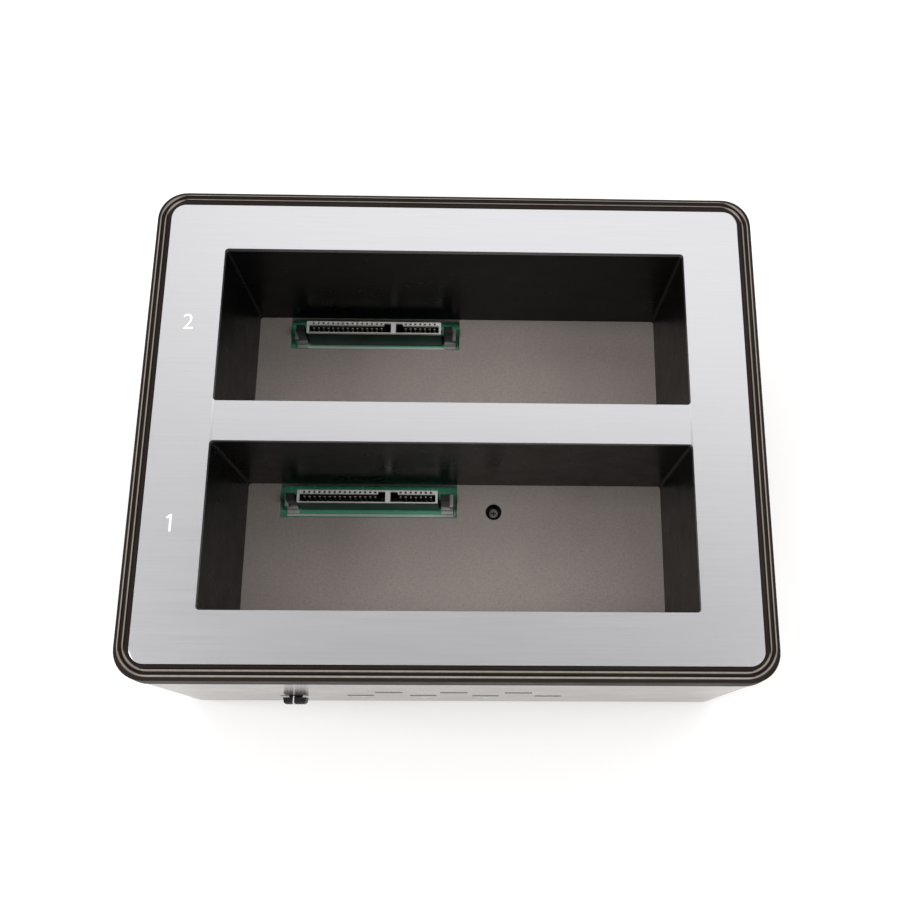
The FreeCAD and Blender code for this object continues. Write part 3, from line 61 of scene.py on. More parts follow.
class Finish:
    """A material being built. Its methods add nodes and give back their output.

    It starts as a plain colour and roughness, which the nodes then vary.
    """

    def __init__(self, name, colour, roughness, **constants):
        self.material = bpy.data.materials.new(name)
        self.material.use_nodes = True
        self.tree = self.material.node_tree
        self.shader = self.tree.nodes["Principled BSDF"]
        self.set("Base Color", (*colour, 1.0))
        self.set("Roughness", roughness)
        for socket, value in constants.items():
            self.set(socket.replace("_", " "), value)

    def set(self, socket, value):
        """Sets a constant on the shader, or links an output to it."""
        target = self.shader.inputs[socket]
        if isinstance(value, bpy.types.NodeSocket):
            self.tree.links.new(value, target)
        else:
            target.default_value = value

    def add(self, kind, inputs, **settings):
        """Adds a node, with its settings, and its inputs by name or by place."""
        node = self.tree.nodes.new("ShaderNode" + kind)
        for name, value in settings.items():
            setattr(node, name, value)
        for key, value in inputs.items():
            if isinstance(value, bpy.types.NodeSocket):
                self.tree.links.new(value, node.inputs[key])
            else:
                node.inputs[key].default_value = value
        return node

    def place(self, stretch=(1, 1, 1)):
        """The object's own coordinates in millimetres, stretched along each axis."""
        here = self.add("TexCoord", {}).outputs["Object"]
        scale = tuple(1 / (MM * s) for s in stretch)
        return self.add("Mapping", {"Vector": here, "Scale": scale}).outputs["Vector"]

    def noise(self, size, stretch=(1, 1, 1), detail=3.0, grain=0.55):
        """Soft noise whose blobs are about size millimetres across."""
        inputs = {
            "Vector": self.place(stretch), "Scale": 1 / size, "Detail": detail, "Roughness": grain,
        }
        return self.add("TexNoise", inputs).outputs[0]

    def cells(self, size):
        """Distance to the nearest of scattered points about size millimetres apart."""
        inputs = {"Vector": self.place(), "Scale": 1 / size}
        return self.add("TexVoronoi", inputs).outputs["Distance"]

    def spread(self, value, low, high, source=(0.3, 0.7)):
        """Maps the source range of a value to low..high, and holds it at the ends."""
        inputs = dict(enumerate((value, *source, low, high)))  # by place, in the node's own order
        return self.add("MapRange", inputs).outputs[0]

    def compute(self, operation, first, second=0.0):
        """One step of arithmetic; an operation on one value leaves out the second."""
        return self.add("Math", {0: first, 1: second}, operation=operation).outputs[0]

    def blend(self, amount, first, second):
        """Blends two colours; each is a plain colour or an output."""
        node = self.add("Mix", {0: amount}, data_type="RGBA")
        for key, value in ((MIX_FIRST, first), (MIX_SECOND, second)):
            if isinstance(value, bpy.types.NodeSocket):
                self.tree.links.new(value, node.inputs[key])
            else:
                node.inputs[key].default_value = (*value, 1.0)
        return node.outputs[MIX_COLOUR]

    def turned(self, axis):
        """How far the surface faces along an axis, from 0 to 1, either way."""
        normal = self.add("NewGeometry", {}).outputs["Normal"]
        parts = self.add("SeparateXYZ", {0: normal}).outputs
        return self.compute("ABSOLUTE", parts["XYZ".index(axis)])

    def inset(self, low, high, radius):
        """Millimetres inside a rounded rectangle seen from above; low and high are box corners."""
        middle = (low + high) / 2
        parts = self.add("SeparateXYZ", {0: self.place()}).outputs
        past = []
        for axis in range(2):
            reach = (high[axis] - low[axis]) / 2 / MM - radius
            offset = self.compute("SUBTRACT", parts[axis], middle[axis] / MM)
            past.append(self.compute("SUBTRACT", self.compute("ABSOLUTE", offset), reach))
        beyond = [self.compute("MAXIMUM", value, 0.0) for value in past]
        squares = [self.compute("POWER", value, 2.0) for value in beyond]
        outside = self.compute("SQRT", self.compute("ADD", *squares))
        within = self.compute("MINIMUM", self.compute("MAXIMUM", *past), 0.0)
        return self.compute("SUBTRACT", radius, self.compute("ADD", outside, within))

    def stripe(self, value, middle, width):
        """1 where a value is near the middle, falling softly to 0 at half the width from it."""
        away = self.compute("ABSOLUTE", self.compute("SUBTRACT", value, middle))
        return self.spread(away, 1.0, 0.0, source=(0.2 * width, 0.5 * width))

    def bump(self, value, depth, under=None):
        """Turns a 0..1 value into relief of that depth in millimetres, over another relief."""
        inputs = {"Height": value, "Distance": depth * MM, "Strength": 1.0}
        if under is not None:
            inputs["Normal"] = under
        return self.add("Bump", inputs).outputs[0]


def lighter(colour, factor):
    """A colour times a factor, held at white."""
    return tuple(min(1.0, channel * factor) for channel in colour)


# Finishes. These lengths are in millimetres, as the nodes work in them.

BAY_SCREW = (9.8, -11.4)  # middle of the screw in the front bay's floor
BAY_SCREW_SHADE_RADIUS = 2.0  # radius of the painted shade inside the recess round it
RING_RADIUS = 8.0  # corner radius of the trim ring's outline
BEAD_HIGHLIGHTS = (1.4, 2.5)  # the beads' outer flanks, inside that outline, where the painted highlight lines run
BEAD_HIGHLIGHT_WIDTH = 0.5  # width of the painted highlight line on a flank


def moulded(name, colour, roughness, texture, depth, handling=0.08, **constants):
    """Moulded plastic: spark-eroded texture, slow shade variation and an uneven, handled gloss."""
    finish = Finish(name, colour, roughness, **constants)
    slow = finish.noise(18.0)
    grain = finish.noise(texture, detail=4.0, grain=0.7)
    shade = finish.blend(finish.spread(slow, 0, 1), lighter(colour, 0.94), lighter(colour, 1.06))
    speckled = finish.blend(finish.spread(grain, 0.0, 0.35), shade, lighter(colour, 1.18))
    finish.set("Base Color", speckled)
    smears = finish.noise(6.0, detail=5.0)
    gloss = finish.spread(smears, roughness - handling / 2, roughness + handling / 2)
    finish.set("Roughness", gloss)
    finish.set("Normal", finish.bump(grain, depth))
    return finish.material


def glossy(name, colour, roughness, **constants):
    """Polished plastic: slight moulding waves, hairline scratches and faint smears."""
    finish = Finish(name, colour, roughness, **constants)
    waves = finish.noise(25.0, detail=1.0)
    hairs = finish.noise(0.25, stretch=(30, 30, 2), detail=2.0)
    smears = finish.noise(12.0, detail=6.0, grain=0.65)
    gloss = finish.spread(smears, roughness * 0.88, roughness * 1.15)
    scratched = finish.spread(hairs, 0.0, 0.04, source=(0.62, 0.72))
    finish.set("Roughness", finish.compute("ADD", gloss, scratched))
    shade = finish.blend(finish.spread(waves, 0, 1), lighter(colour, 0.95), lighter(colour, 1.08))
    finish.set("Base Color", shade)
    relief = finish.bump(waves, 0.004)
    finish.set("Normal", finish.bump(hairs, 0.0006, relief))
    return finish.material


def tray_finish(name):
    """Moulded tray, with the inside of its screw recess painted near black as painted shade."""
    colour = (0.45, 0.39, 0.358)
    finish = Finish(name, colour, 0.62)
    slow = finish.noise(22.0)
    grain = finish.noise(0.5, detail=4.0, grain=0.8)
    shade = finish.blend(finish.spread(slow, 0, 1), lighter(colour, 0.95), lighter(colour, 1.07))
    specks = finish.spread(grain, 0.0, 0.75, source=(0.35, 0.65))
    speckled = finish.blend(specks, shade, lighter(colour, 0.72))
    reach = Vector((BAY_SCREW_SHADE_RADIUS, BAY_SCREW_SHADE_RADIUS)) * MM
    middle = Vector(BAY_SCREW) * MM
    recess = finish.inset(middle - reach, middle + reach, BAY_SCREW_SHADE_RADIUS)
    # painted shade: near black inside the screw's recess, where shade falls
    dark = finish.spread(recess, 0.0, 1.0, source=(-0.05, 0.05))
    finish.set("Base Color", finish.blend(dark, speckled, (0.008, 0.0075, 0.007)))
    finish.set("Roughness", finish.spread(finish.noise(6.0, detail=5.0), 0.56, 0.68))
    finish.set("Normal", finish.bump(grain, 0.06))
    return finish.material


def trim_finish(name):
    """Dark satin moulding, with a thin painted highlight line along the outer flank of each bead.
    """
    dark = (0.022, 0.017, 0.0145)
    # colour of the painted highlight lines on the beads
    line = (0.36, 0.315, 0.285)
    finish = Finish(name, dark, 0.45, Specular_IOR_Level=0.02)
    inset = finish.inset(*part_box("trim_ring"), RING_RADIUS)
    # painted highlight: a light line along each bead's flank, broken up a little by noise
    highlight_stripes = [finish.stripe(inset, place, BEAD_HIGHLIGHT_WIDTH) for place in BEAD_HIGHLIGHTS]
    lines = finish.compute("MAXIMUM", *highlight_stripes)
    highlight_breakup = finish.spread(finish.noise(1.4, detail=4.0, grain=0.6), 0.78, 1.0)
    cover = finish.compute("MULTIPLY", lines, highlight_breakup)
    slow = finish.noise(18.0, detail=2.0)
    grain = finish.noise(0.25, detail=4.0, grain=0.7)
    shade = finish.blend(finish.spread(slow, 0, 1), lighter(dark, 0.9), lighter(dark, 1.15))
    # the painted highlight lines laid over the dark moulding
    finish.set("Base Color", finish.blend(cover, shade, line))
    smears = finish.spread(finish.noise(9.0, detail=5.0), 0.4, 0.5)
    smoother = finish.spread(cover, 0.0, -0.1, source=(0, 1))
    finish.set("Roughness", finish.compute("ADD", smears, smoother))
    finish.set("Normal", finish.bump(grain, 0.003))
    return finish.material


def brushed_deck(name):
    """Brushed metal sheet: long strokes across, painted shade on its edges and any face not turned
    up, and slight clouding.
    """
    colour = (0.47, 0.468, 0.487)
    finish = Finish(name, colour, 0.36, Metallic=0.85)
    strokes = finish.noise(0.35, stretch=(60, 1, 1), detail=5.0, grain=0.7)
    broad = finish.noise(3.0, stretch=(14, 1, 1), detail=3.0)
    clouds = finish.noise(30.0, detail=2.0)
    bright = finish.spread(strokes, 0, 1)
    tone = finish.blend(bright, lighter(colour, 0.955), lighter(colour, 1.045))
    clouded = finish.blend(finish.spread(clouds, 0.0, 0.3), tone, lighter(colour, 1.05))
    # painted shade: faces that turn away from straight up are darkened
    painted_side_shade = finish.spread(finish.turned("Z"), 1.0, 0.0, source=(0.2, 0.97))
    finish.set("Base Color", finish.blend(painted_side_shade, clouded, lighter(colour, 0.6)))
    fine = finish.spread(strokes, 0.34, 0.39)
    coarse = finish.spread(broad, -0.008, 0.008)
    finish.set("Roughness", finish.compute("ADD", fine, coarse))
    finish.set("Normal", finish.bump(strokes, 0.0025))
    return finish.material


def metal(name, colour, roughness, **constants):
    """Plated or turned metal: fine drawn lines, dull patches and a little tarnish."""
    finish = Finish(name, colour, roughness, Metallic=1.0, **constants)
    lines = finish.noise(0.12, stretch=(8, 8, 1), detail=4.0)
    patches = finish.noise(1.6, detail=4.0, grain=0.6)
    shade = finish.blend(finish.spread(patches, 0, 1), lighter(colour, 0.82), lighter(colour, 1.1))
    finish.set("Base Color", shade)
    finish.set("Roughness", finish.spread(lines, roughness * 0.75, roughness * 1.35))
    finish.set("Normal", finish.bump(lines, 0.002))
    return finish.material


def circuit_board(name):
    """Solder mask over copper: lighter tracks and vias under a glossy lacquer."""
    mask = (0.12, 0.58, 0.35)
    copper = (0.19, 0.7, 0.45)
    finish = Finish(name, mask, 0.32, Coat_Weight=0.35, Coat_Roughness=0.15)
    brick = finish.add("TexBrick", {
        "Vector": finish.place(), "Scale": 1 / 3.2, "Mortar Size": 0.09, "Mortar Smooth": 0.2,
        "Brick Width": 1.9, "Row Height": 0.55,
    })
    vias = finish.spread(finish.cells(2.6), 1.0, 0.0, source=(0.1, 0.14))
    raised = finish.compute("MAXIMUM", brick.outputs["Fac"], vias)
    tracks = finish.blend(raised, mask, copper)
    stains = finish.spread(finish.noise(9.0), 0, 0.25)
    finish.set("Base Color", finish.blend(stains, tracks, lighter(mask, 0.6)))
    finish.set("Roughness", finish.spread(finish.noise(1.1), 0.26, 0.38))
    finish.set("Normal", finish.bump(raised, 0.035))
    return finish.material


def rubber(name):
    """Rubber foot: matt, with dust and fine pores."""
    colour = (0.022, 0.022, 0.023)
    finish = Finish(name, colour, 0.85, Sheen_Weight=0.25)
    pores = finish.cells(0.4)
    dust = finish.spread(finish.noise(2.5, detail=6.0, grain=0.7), 0.0, 0.4, source=(0.5, 0.8))
    finish.set("Base Color", finish.blend(dust, colour, (0.09, 0.085, 0.08)))
    finish.set("Roughness", finish.spread(dust, 0.78, 0.95, source=(0, 0.4)))
    finish.set("Normal", finish.bump(pores, 0.02))
    return finish.material


def light_pipe(name):
    """Smoked light pipe: clear gloss over a dark, faintly warm core."""
    colour = (0.02, 0.013, 0.01)
    finish = Finish(name, colour, 0.12, Specular_IOR_Level=0.05)
    flow = finish.noise(2.0, stretch=(4, 1, 1), detail=2.0)
    shade = finish.blend(finish.spread(flow, 0, 1), lighter(colour, 0.8), lighter(colour, 1.3))
    finish.set("Base Color", shade)
    finish.set("Roughness", finish.spread(finish.noise(0.8), 0.08, 0.18))
    finish.set("Normal", finish.bump(flow, 0.01))
    return finish.material


def ink(name, colour):
    """Screen-printed ink: slightly uneven cover and a dull, grainy face. It also colours the
    painted highlight on the slider and the painted shade in the screw recesses.
    """
    finish = Finish(name, colour, 0.6)
    cover = finish.noise(0.15, detail=4.0, grain=0.7)
    shade = finish.blend(finish.spread(cover, 0, 1), lighter(colour, 0.88), colour)
    finish.set("Base Color", shade)
    finish.set("Roughness", finish.spread(cover, 0.5, 0.7))
    finish.set("Normal", finish.bump(cover, 0.003))
    return finish.material


def finishes():
    """One material per slot of the record."""
    return {
        "housing": glossy("housing", (0.068, 0.047, 0.036), 0.18),
        "base": moulded("base", (0.03, 0.029, 0.028), 0.55, 0.35, 0.03),
        "trim": trim_finish("trim"),
        "deck": brushed_deck("deck"),
        "well": moulded("well", (0.003, 0.0026, 0.0027), 0.3, 0.5, 0.001,
                        Specular_IOR_Level=0.1),
        "tray": tray_finish("tray"),
        "screw": metal("screw", (0.28, 0.265, 0.25), 0.5),
        "foot": rubber("foot"),
        "connector": moulded("connector", (0.016, 0.016, 0.015), 0.4, 0.15, 0.006),
        "rim": moulded("rim", (0.93, 0.9, 0.86), 0.45, 0.15, 0.008),
        "contact": metal("contact", (0.95, 0.9, 0.78), 0.36),
        "tab": metal("tab", (0.66, 0.645, 0.625), 0.4),
        "board": circuit_board("board"),
        "chip": moulded("chip", (0.016, 0.016, 0.017), 0.5, 0.12, 0.01),
        "can": metal("can", (0.6, 0.6, 0.62), 0.28),
        "lens": light_pipe("lens"),
        "lamp": moulded("lamp", (0.55, 0.56, 0.5), 0.25, 0.2, 0.004, Subsurface_Weight=0.1),
        "slider": moulded("slider", (0.007, 0.0065, 0.0065), 0.5, 0.2, 0.012,
                          Specular_IOR_Level=0.3),
        "switch": moulded("switch", (0.014, 0.014, 0.014), 0.38, 0.3, 0.01),
    }


# The CAD nodes.

# Width of the softened edges, in millimetres.
SOFT_EDGES = {
    "upper_housing": 0.35, "trim_ring": 0.22, "deck_plate": 0.12, "bay_tray": 0.25,
    "front_well": 0.2, "rear_well": 0.2, "base_cover": 0.2, "mode_slider": 0.06,
    "power_rocker": 0.25, "power_switch_frame": 0.25, "power_jack": 0.15, "main_board": 0.1,
    "front_sata_rim": 0.06, "rear_sata_rim": 0.06, "front_sata_body": 0.08, "rear_sata_body": 0.08,
}
DEFAULT_EDGE = 0.05
SHARP_ANGLE = math.radians(28)
WELD_DISTANCE = 0.001 * MM


def soften(node, width):
    """Rounds a node's edges, once its facets are welded, and keeps its flat faces flat."""
    weld = node.modifiers.new("Weld", "WELD")
    weld.merge_threshold = WELD_DISTANCE
    bevel = node.modifiers.new("Bevel", "BEVEL")
    bevel.width = width * MM
    bevel.segments = 2
    bevel.limit_method = "ANGLE"
    bevel.angle_limit = SHARP_ANGLE
    bevel.loop_slide = False
    even = node.modifiers.new("EvenNormals", "WEIGHTED_NORMAL")
    even.weight = 100


def dress_nodes(materials):
    """Gives each CAD node its finish and its softened edges."""
    for part in frame["record"]["subparts"]:
        node = nodes[part["node"]]
        node.data.materials.clear()
        node.data.materials.append(materials[part["material_slot"]])
        soften(node, SOFT_EDGES.get(part["node"], DEFAULT_EDGE))


# Pieces added to them.

def piece(name, mesh, material, body):
    """Puts a finished mesh in the scene as a piece that moves with a CAD body."""
    mesh.to_mesh(data := bpy.data.meshes.new(name))
    mesh.free()
    thing = bpy.data.objects.new(name, data)
    bpy.context.scene.collection.objects.link(thing)
    data.materials.append(material)
    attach(thing, body)
    return thing


def thicken(mesh, faces):
    """Gives flat faces the thickness of print."""
    grown = bmesh.ops.extrude_face_region(mesh, geom=faces)
    tops = [item for item in grown["geom"] if isinstance(item, bmesh.types.BMVert)]
    bmesh.ops.translate(mesh, verts=tops, vec=(0, 0, PRINT_THICKNESS))


def rectangle(x, y, width, depth):
    """The outline of a rectangle round a middle."""
    return [(x - width / 2, y - depth / 2), (x + width / 2, y - depth / 2),
            (x + width / 2, y + depth / 2), (x - width / 2, y + depth / 2)]


def lay_print(name, mesh, material, body, where):
    """Carries a flat print to its surface, with the matrix where, as a piece."""
    bmesh.ops.recalc_face_normals(mesh, faces=mesh.faces)
    mesh.transform(where)
    return piece(name, mesh, material, body)


def printed(name, outlines, material, body, where):
    """Prints outlines of x and y points on a surface."""
    mesh = bmesh.new()
    for outline in outlines:
        thicken(mesh, [mesh.faces.new([mesh.verts.new((x, y, 0)) for x, y in outline])])
    return lay_print(name, mesh, material, body, where)


# The figure 1 as its own outline, for a height of 1.
ONE = ((-0.03, -0.36), (0.07, -0.36), (0.07, 0.36), (-0.01, 0.36),
       (-0.17, 0.24), (-0.12, 0.16), (-0.03, 0.22))


def number(name, text, height, material, body, where):
    """Prints a plain number, with its middle at the matrix's origin."""
    if text == "1":
        outline = [(x * height, y * height) for x, y in ONE]
        return printed(name, [outline], material, body, where)
    curve = bpy.data.curves.new(name, "FONT")
    curve.body = text
    curve.size = height
    curve.align_x = "CENTER"
    curve.align_y = "CENTER"
    curve.resolution_u = 4
    words = bpy.data.objects.new(name, curve)
    bpy.context.scene.collection.objects.link(words)
    bpy.context.view_layer.update()
    mesh = bmesh.new()
    mesh.from_mesh(words.to_mesh())
    words.to_mesh_clear()
    bpy.data.objects.remove(words)
    bmesh.ops.remove_doubles(mesh, verts=mesh.verts, dist=PRINT_THICKNESS)
    thicken(mesh, list(mesh.faces))
    return lay_print(name, mesh, material, body, where)


BAY_NUMBER_HEIGHT = 5.2 * MM
BAY_NUMBER_SHIFT = 1.4 * MM  # to the right of the middle between the deck's edge and the bay


def bay_numbers(white):
    """A plain number left of each bay."""
    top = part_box("deck_plate")
    x = (top[0].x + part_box("front_well")[0].x) / 2 + BAY_NUMBER_SHIFT
    for text, well in (("1", "front_well"), ("2", "rear_well")):
        low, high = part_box(well)
        place = Matrix.Translation((x, (low.y + high.y) / 2, top[1].z + PRINT_LIFT))
        number("bay_number_" + text, text, BAY_NUMBER_HEIGHT, white, "casing", place)


SHOULDER_INSET = 0.4 * MM  # casing's front face at the shoulder, behind the trim ring's front


def face_frame(x, z):
    """The matrix that lays a flat print on the leaning front face, at that x and height."""
    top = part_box("trim_ring")[0]
    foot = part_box("upper_housing")[0]
    lean = math.atan2(SHOULDER_INSET + top.y - foot.y, top.z - foot.z)
    y = foot.y + (z - foot.z) * math.tan(lean) - PRINT_LIFT
    return Matrix.Translation((x, y, z)) @ Matrix.Rotation(math.pi / 2 - lean, 4, "X")


WINDOWS = 4  # in the lower row
WINDOW_WIDTH = 6.2 * MM  # of the light pipe's tip in it
PIPE_EDGE = 0.8 * MM  # how far the light pipe's bar stands out past its outer windows
PANEL_NUMBER_HEIGHT = 2.6 * MM
PANEL_NUMBER_DROP = 3.4 * MM  # number's middle below the light pipe
TICK_DROP = 0.9 * MM
TICK_WIDTH = 0.8 * WINDOW_WIDTH
TICK_HEIGHT = 0.3 * MM
DOT_SIDE = 0.7 * MM
DOT_SPREAD = 2.4 * MM  # each dot from their middle
DOT_SHIFT = 1.0 * MM  # their middle left of the cap's at rest, in the middle of its travel
DOT_DROP = 1.4 * MM


def panel_marks(white):
    """Plain numbers and ticks below the indicator windows, and a dot at each end of the slider."""
    low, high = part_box("lower_light_pipe")
    first = low.x + PIPE_EDGE + WINDOW_WIDTH / 2
    pitch = (high.x - low.x - 2 * PIPE_EDGE - WINDOW_WIDTH) / (WINDOWS - 1)
    columns = [first + column * pitch for column in range(WINDOWS)]
    for count, x in enumerate(columns, start=1):
        number(f"panel_number_{count}", str(count), PANEL_NUMBER_HEIGHT, white, "casing",
               face_frame(x, low.z - PANEL_NUMBER_DROP))
    ticks = [rectangle(x, 0, TICK_WIDTH, TICK_HEIGHT) for x in columns]
    printed("panel_ticks", ticks, white, "casing", face_frame(0, low.z - TICK_DROP))
    low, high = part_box("mode_slider")
    middle = (low.x + high.x) / 2
    dots = [rectangle(middle + side * DOT_SPREAD - DOT_SHIFT, 0, DOT_SIDE, DOT_SIDE)
            for side in (-1, 1)]
    printed("slider_ticks", dots, white, "casing", face_frame(0, low.z - DOT_DROP))


# A painted highlight along the slider cap's top, as a thin white strip.
LINE_WIDTH = 0.3 * MM
LINE_DEPTH = 1.9 * MM  # from the cap's front face back over its top
LINE_PLACE = 0.46  # across the slider, as a share of its width
LINE_FOOT = 0.3 * MM  # lower end above the cap's lower edge
LINE_PROUD = 0.02 * MM  # above the cap's top
LINE_SINK = 0.02 * MM  # behind the cap's front
LINE_EDGE = 0.05 * MM


def slider_line(white):
    """A white line on the slider's cap, over its top and front: a painted highlight along the
    cap's top.
    """
    low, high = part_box("mode_slider")
    mesh = bmesh.new()
    bmesh.ops.create_cube(mesh, size=1.0)
    size = Vector((LINE_WIDTH, LINE_DEPTH, high.z - low.z - LINE_FOOT + LINE_PROUD))
    corner = Vector((low.x + LINE_PLACE * (high.x - low.x), low.y + LINE_SINK, low.z + LINE_FOOT))
    middle = corner + Vector((0, size.y / 2, size.z / 2))
    mesh.transform(Matrix.Translation(middle) @ Matrix.Diagonal((*size, 1.0)))
    bmesh.ops.bevel(mesh, geom=list(mesh.edges), offset=LINE_EDGE, segments=2, affect="EDGES")
    # the painted highlight, as a thin white piece on the cap
    piece("slider_line", mesh, white, "slider")


SILK_LINE = 0.3 * MM
FRONT_LINES = (("front", -0.35 * MM), ("rear", 0.4 * MM))  # from the hold-downs' front ends
DASHES = 3
DASH_WIDTH = 0.4 * MM
DASH_START = 0.5 * MM  # first dash from the hold-downs' left end
DASH_PITCH = 0.8 * MM
DASH_BEHIND = 0.5 * MM
CHIP_MARGIN = 1.5 * MM


def board_prints(white):
    """Silkscreen on the main board.

    Each receptacle has a line in front, one beside it and dashes behind; the chip has a frame.
    """
    top = Matrix.Translation((0, 0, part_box("main_board")[1].z + PRINT_LIFT))
    for side, front in FRONT_LINES:
        low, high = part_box(side + "_hold_downs")
        marks = [
            rectangle((low.x + high.x) / 2, low.y + front, high.x - low.x, 2 * SILK_LINE),
            rectangle(high.x + SILK_LINE, (low.y + high.y) / 2, SILK_LINE,
                      high.y - low.y + SILK_LINE),
        ]
        for step in range(DASHES):
            marks.append(rectangle(low.x + DASH_START + step * DASH_PITCH, high.y + DASH_BEHIND,
                                   DASH_WIDTH, 2 * SILK_LINE))
        printed(side + "_silkscreen", marks, white, "casing", top)
    low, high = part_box("controller_chip")
    middle = (low + high) / 2
    reach = (high - low) / 2 + Vector((CHIP_MARGIN, CHIP_MARGIN, 0))
    sides = []
    for side in (-1, 1):
        sides.append(rectangle(middle.x, middle.y + side * reach.y, 2 * reach.x, SILK_LINE))
        sides.append(rectangle(middle.x + side * reach.x, middle.y, SILK_LINE, 2 * reach.y))
    printed("chip_silkscreen", sides, white, "casing", top)


BAY_HEAD_DROP = 2.1 * MM  # screw's head below the bay floor
BAY_CROSS = (0.62 * MM, 0.2 * MM)  # radius and half an arm's width
CASING_HEAD = 2.4 * MM  # radius of a casing screw's head
CASING_CROSS = (1.5 * MM, 0.3 * MM)


def cross(radius, arm):
    """The outline of a cross recess; arm is half the width of an arm."""
    points = []
    for quarter in range(4):
        turn = Matrix.Rotation(quarter * math.pi / 2, 2)
        for x, y in ((arm, -arm), (radius, -arm), (radius, arm)):
            points.append(tuple(turn @ Vector((x, y))))
    return points


def screw_recesses(dark):
    """A flat dark cross on each visible screw head: painted shade standing in for its cross
    recess.
    """
    head = Vector(BAY_SCREW) * MM
    place = Matrix.Translation((head.x, head.y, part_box("bay_tray")[1].z - BAY_HEAD_DROP))
    # painted shade: a flat dark cross where the screw's cross recess would hold shade
    printed("bay_screw_recess_shade", [cross(*BAY_CROSS)], dark, "casing", place)
    low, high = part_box("casing_screws")
    level = max(low.z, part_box("base_cover")[0].z)
    for across, side in ((-1, "left"), (1, "right")):
        for along, end in ((-1, "front"), (1, "rear")):
            place = (across * (high.x - CASING_HEAD), along * (high.y - CASING_HEAD), level)
            under = Matrix.Translation(place) @ Matrix.Rotation(math.pi, 4, "X")
            name = f"casing_screw_recess_{side}_{end}"
            printed(name, [cross(*CASING_CROSS)], dark, "casing", under)


def ring(radius, width, steps=32):
    """A flat ring, as the outlines of its short sectors."""
    corners = []
    for step in range(steps + 1):
        turn = 2 * math.pi * step / steps
        corners.append([(reach * math.cos(turn), reach * math.sin(turn))
                        for reach in (radius - width, radius)])
    return [[here[0], here[1], there[1], there[0]] for here, there in zip(corners, corners[1:])]


ROCKER_TILT = math.radians(8)
ROCKER_MIDDLE = 2.0 * MM  # from the rocker's pivot to the edge where its two faces meet
MARK_PLACE = 2.7 * MM  # each mark from that edge
MARK_LINE = (0.35 * MM, 2.0 * MM)  # width and length
MARK_RING = (1.0 * MM, 0.3 * MM)  # radius and width


def rocker_marks(white):
    """The usual line and ring, one on each finger face of the power switch."""
    joints = {joint["name"]: joint for joint in frame["record"]["behaviour"]["joints"]}
    pivot = joints["rocker_pivot"]["pos_m"]
    valley = (Matrix.Translation(pivot) @ Matrix.Rotation(ROCKER_TILT, 4, "Z")
              @ Matrix.Translation((0, ROCKER_MIDDLE, 0)))
    outward = Matrix.Rotation(-math.pi / 2, 4, "X")
    line = [rectangle(0, 0, *MARK_LINE)]
    for name, side, outlines in (("rocker_line", -1, line), ("rocker_ring", 1, ring(*MARK_RING))):
        face = (valley @ Matrix.Rotation(side * ROCKER_TILT, 4, "Z")
                @ Matrix.Translation((side * MARK_PLACE, PRINT_LIFT, 0)) @ outward)
        printed(name, outlines, white, "rocker", face)


# Surroundings.

CAMERA_PLACE = Vector((4.96, -63.41, 290.02)) * MM
CAMERA_TURN = (16.559, -1.358, 0.175)  # degrees
CAMERA_LENS = 42.16
CAMERA_SHIFT = (-0.0539, -0.0418)


def camera():
    """Looks down on the duplicator from above its front edge, as the photograph does."""
    data = bpy.data.cameras.new("camera")
    data.sensor_width = 36
    data.lens = CAMERA_LENS
    data.shift_x, data.shift_y = CAMERA_SHIFT
    data.clip_start = 0.01
    view = bpy.data.objects.new("camera", data)
    view.location = CAMERA_PLACE
    view.rotation_euler = [math.radians(angle) for angle in CAMERA_TURN]
    bpy.context.scene.collection.objects.link(view)
    bpy.context.scene.camera = view


# The lights: name, place, the point they face, width, depth and power in watts.
LIGHTS = (
    ("overhead", (0.06, 0.56, 0.9), (0, 0, 0.05), 1.2, 0.75, 4.15),
    ("front", (0.1, -1.1, 0.7), (0, 0, 0.03), 1.6, 0.6, 7),
    ("left", (-1.0, -0.05, 0.95), (0, 0, 0.03), 0.4, 0.8, 6),
    ("right", (0.9, -0.05, 1.0), (0, 0, 0.03), 0.4, 0.8, 2.8),
)


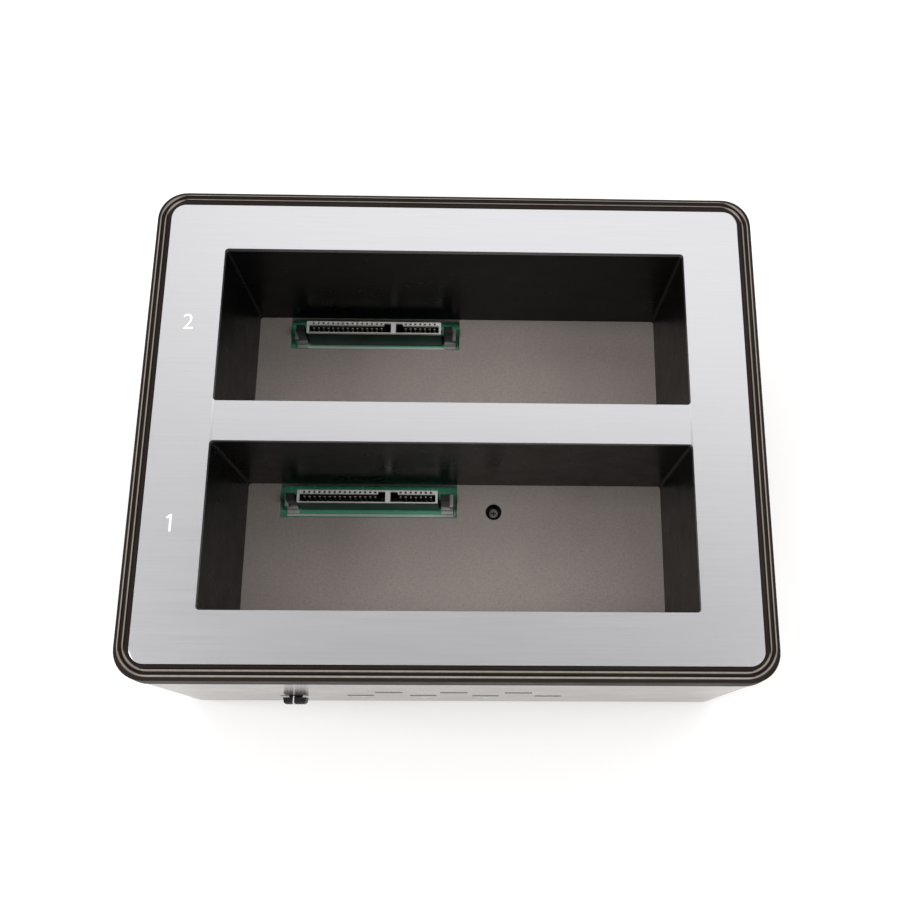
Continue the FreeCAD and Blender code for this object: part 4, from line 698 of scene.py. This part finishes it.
def softbox(name, location, target, width, depth, power):
    """A rectangular soft light that faces a target."""
    data = bpy.data.lights.new(name, "AREA")
    data.shape = "RECTANGLE"
    data.size = width
    data.size_y = depth
    data.energy = power
    lamp = bpy.data.objects.new(name, data)
    lamp.location = location
    lamp.rotation_euler = (Vector(target) - Vector(location)).to_track_quat("-Z", "Y").to_euler()
    bpy.context.scene.collection.objects.link(lamp)


SKY_STRENGTH = 0.55
FLOOR_REACH = 3.0
FLOOR_GLOW = 0.17  # keeps the floor as white as the photograph's ground


def studio():
    """A pale floor, an even pale sky and the soft lights."""
    scene = bpy.context.scene
    scene.view_settings.view_transform = "Standard"
    scene.view_settings.look = "None"
    scene.world = scene.world or bpy.data.worlds.new("sky")
    scene.world.use_nodes = True
    sky = scene.world.node_tree.nodes["Background"].inputs
    sky["Color"].default_value = (1.0, 0.99, 0.98, 1.0)
    sky["Strength"].default_value = SKY_STRENGTH
    mesh = bmesh.new()
    bmesh.ops.create_grid(mesh, x_segments=8, y_segments=8, size=FLOOR_REACH)
    data = bpy.data.meshes.new("floor")
    mesh.to_mesh(data)
    mesh.free()
    ground = bpy.data.objects.new("floor", data)
    scene.collection.objects.link(ground)
    pale = Finish("floor", (0.9, 0.89, 0.88), 0.7)
    pale.set("Roughness", pale.spread(pale.noise(40.0), 0.65, 0.8))
    pale.set("Emission Color", (1.0, 1.0, 1.0, 1.0))
    pale.set("Emission Strength", FLOOR_GLOW)
    data.materials.append(pale.material)
    for light in LIGHTS:
        softbox(*light)


materials = finishes()
dress_nodes(materials)
# white for the printed marks and for the painted highlight on the slider
white_print_and_highlight = ink("white_print_and_highlight", (0.95, 0.95, 0.94))
# near black, for the painted shade of the screw recesses
recess_shade_ink = ink("recess", (0.006, 0.006, 0.006))
bay_numbers(white_print_and_highlight)
panel_marks(white_print_and_highlight)
slider_line(white_print_and_highlight)
board_prints(white_print_and_highlight)
screw_recesses(recess_shade_ink)
rocker_marks(white_print_and_highlight)
camera()
studio()
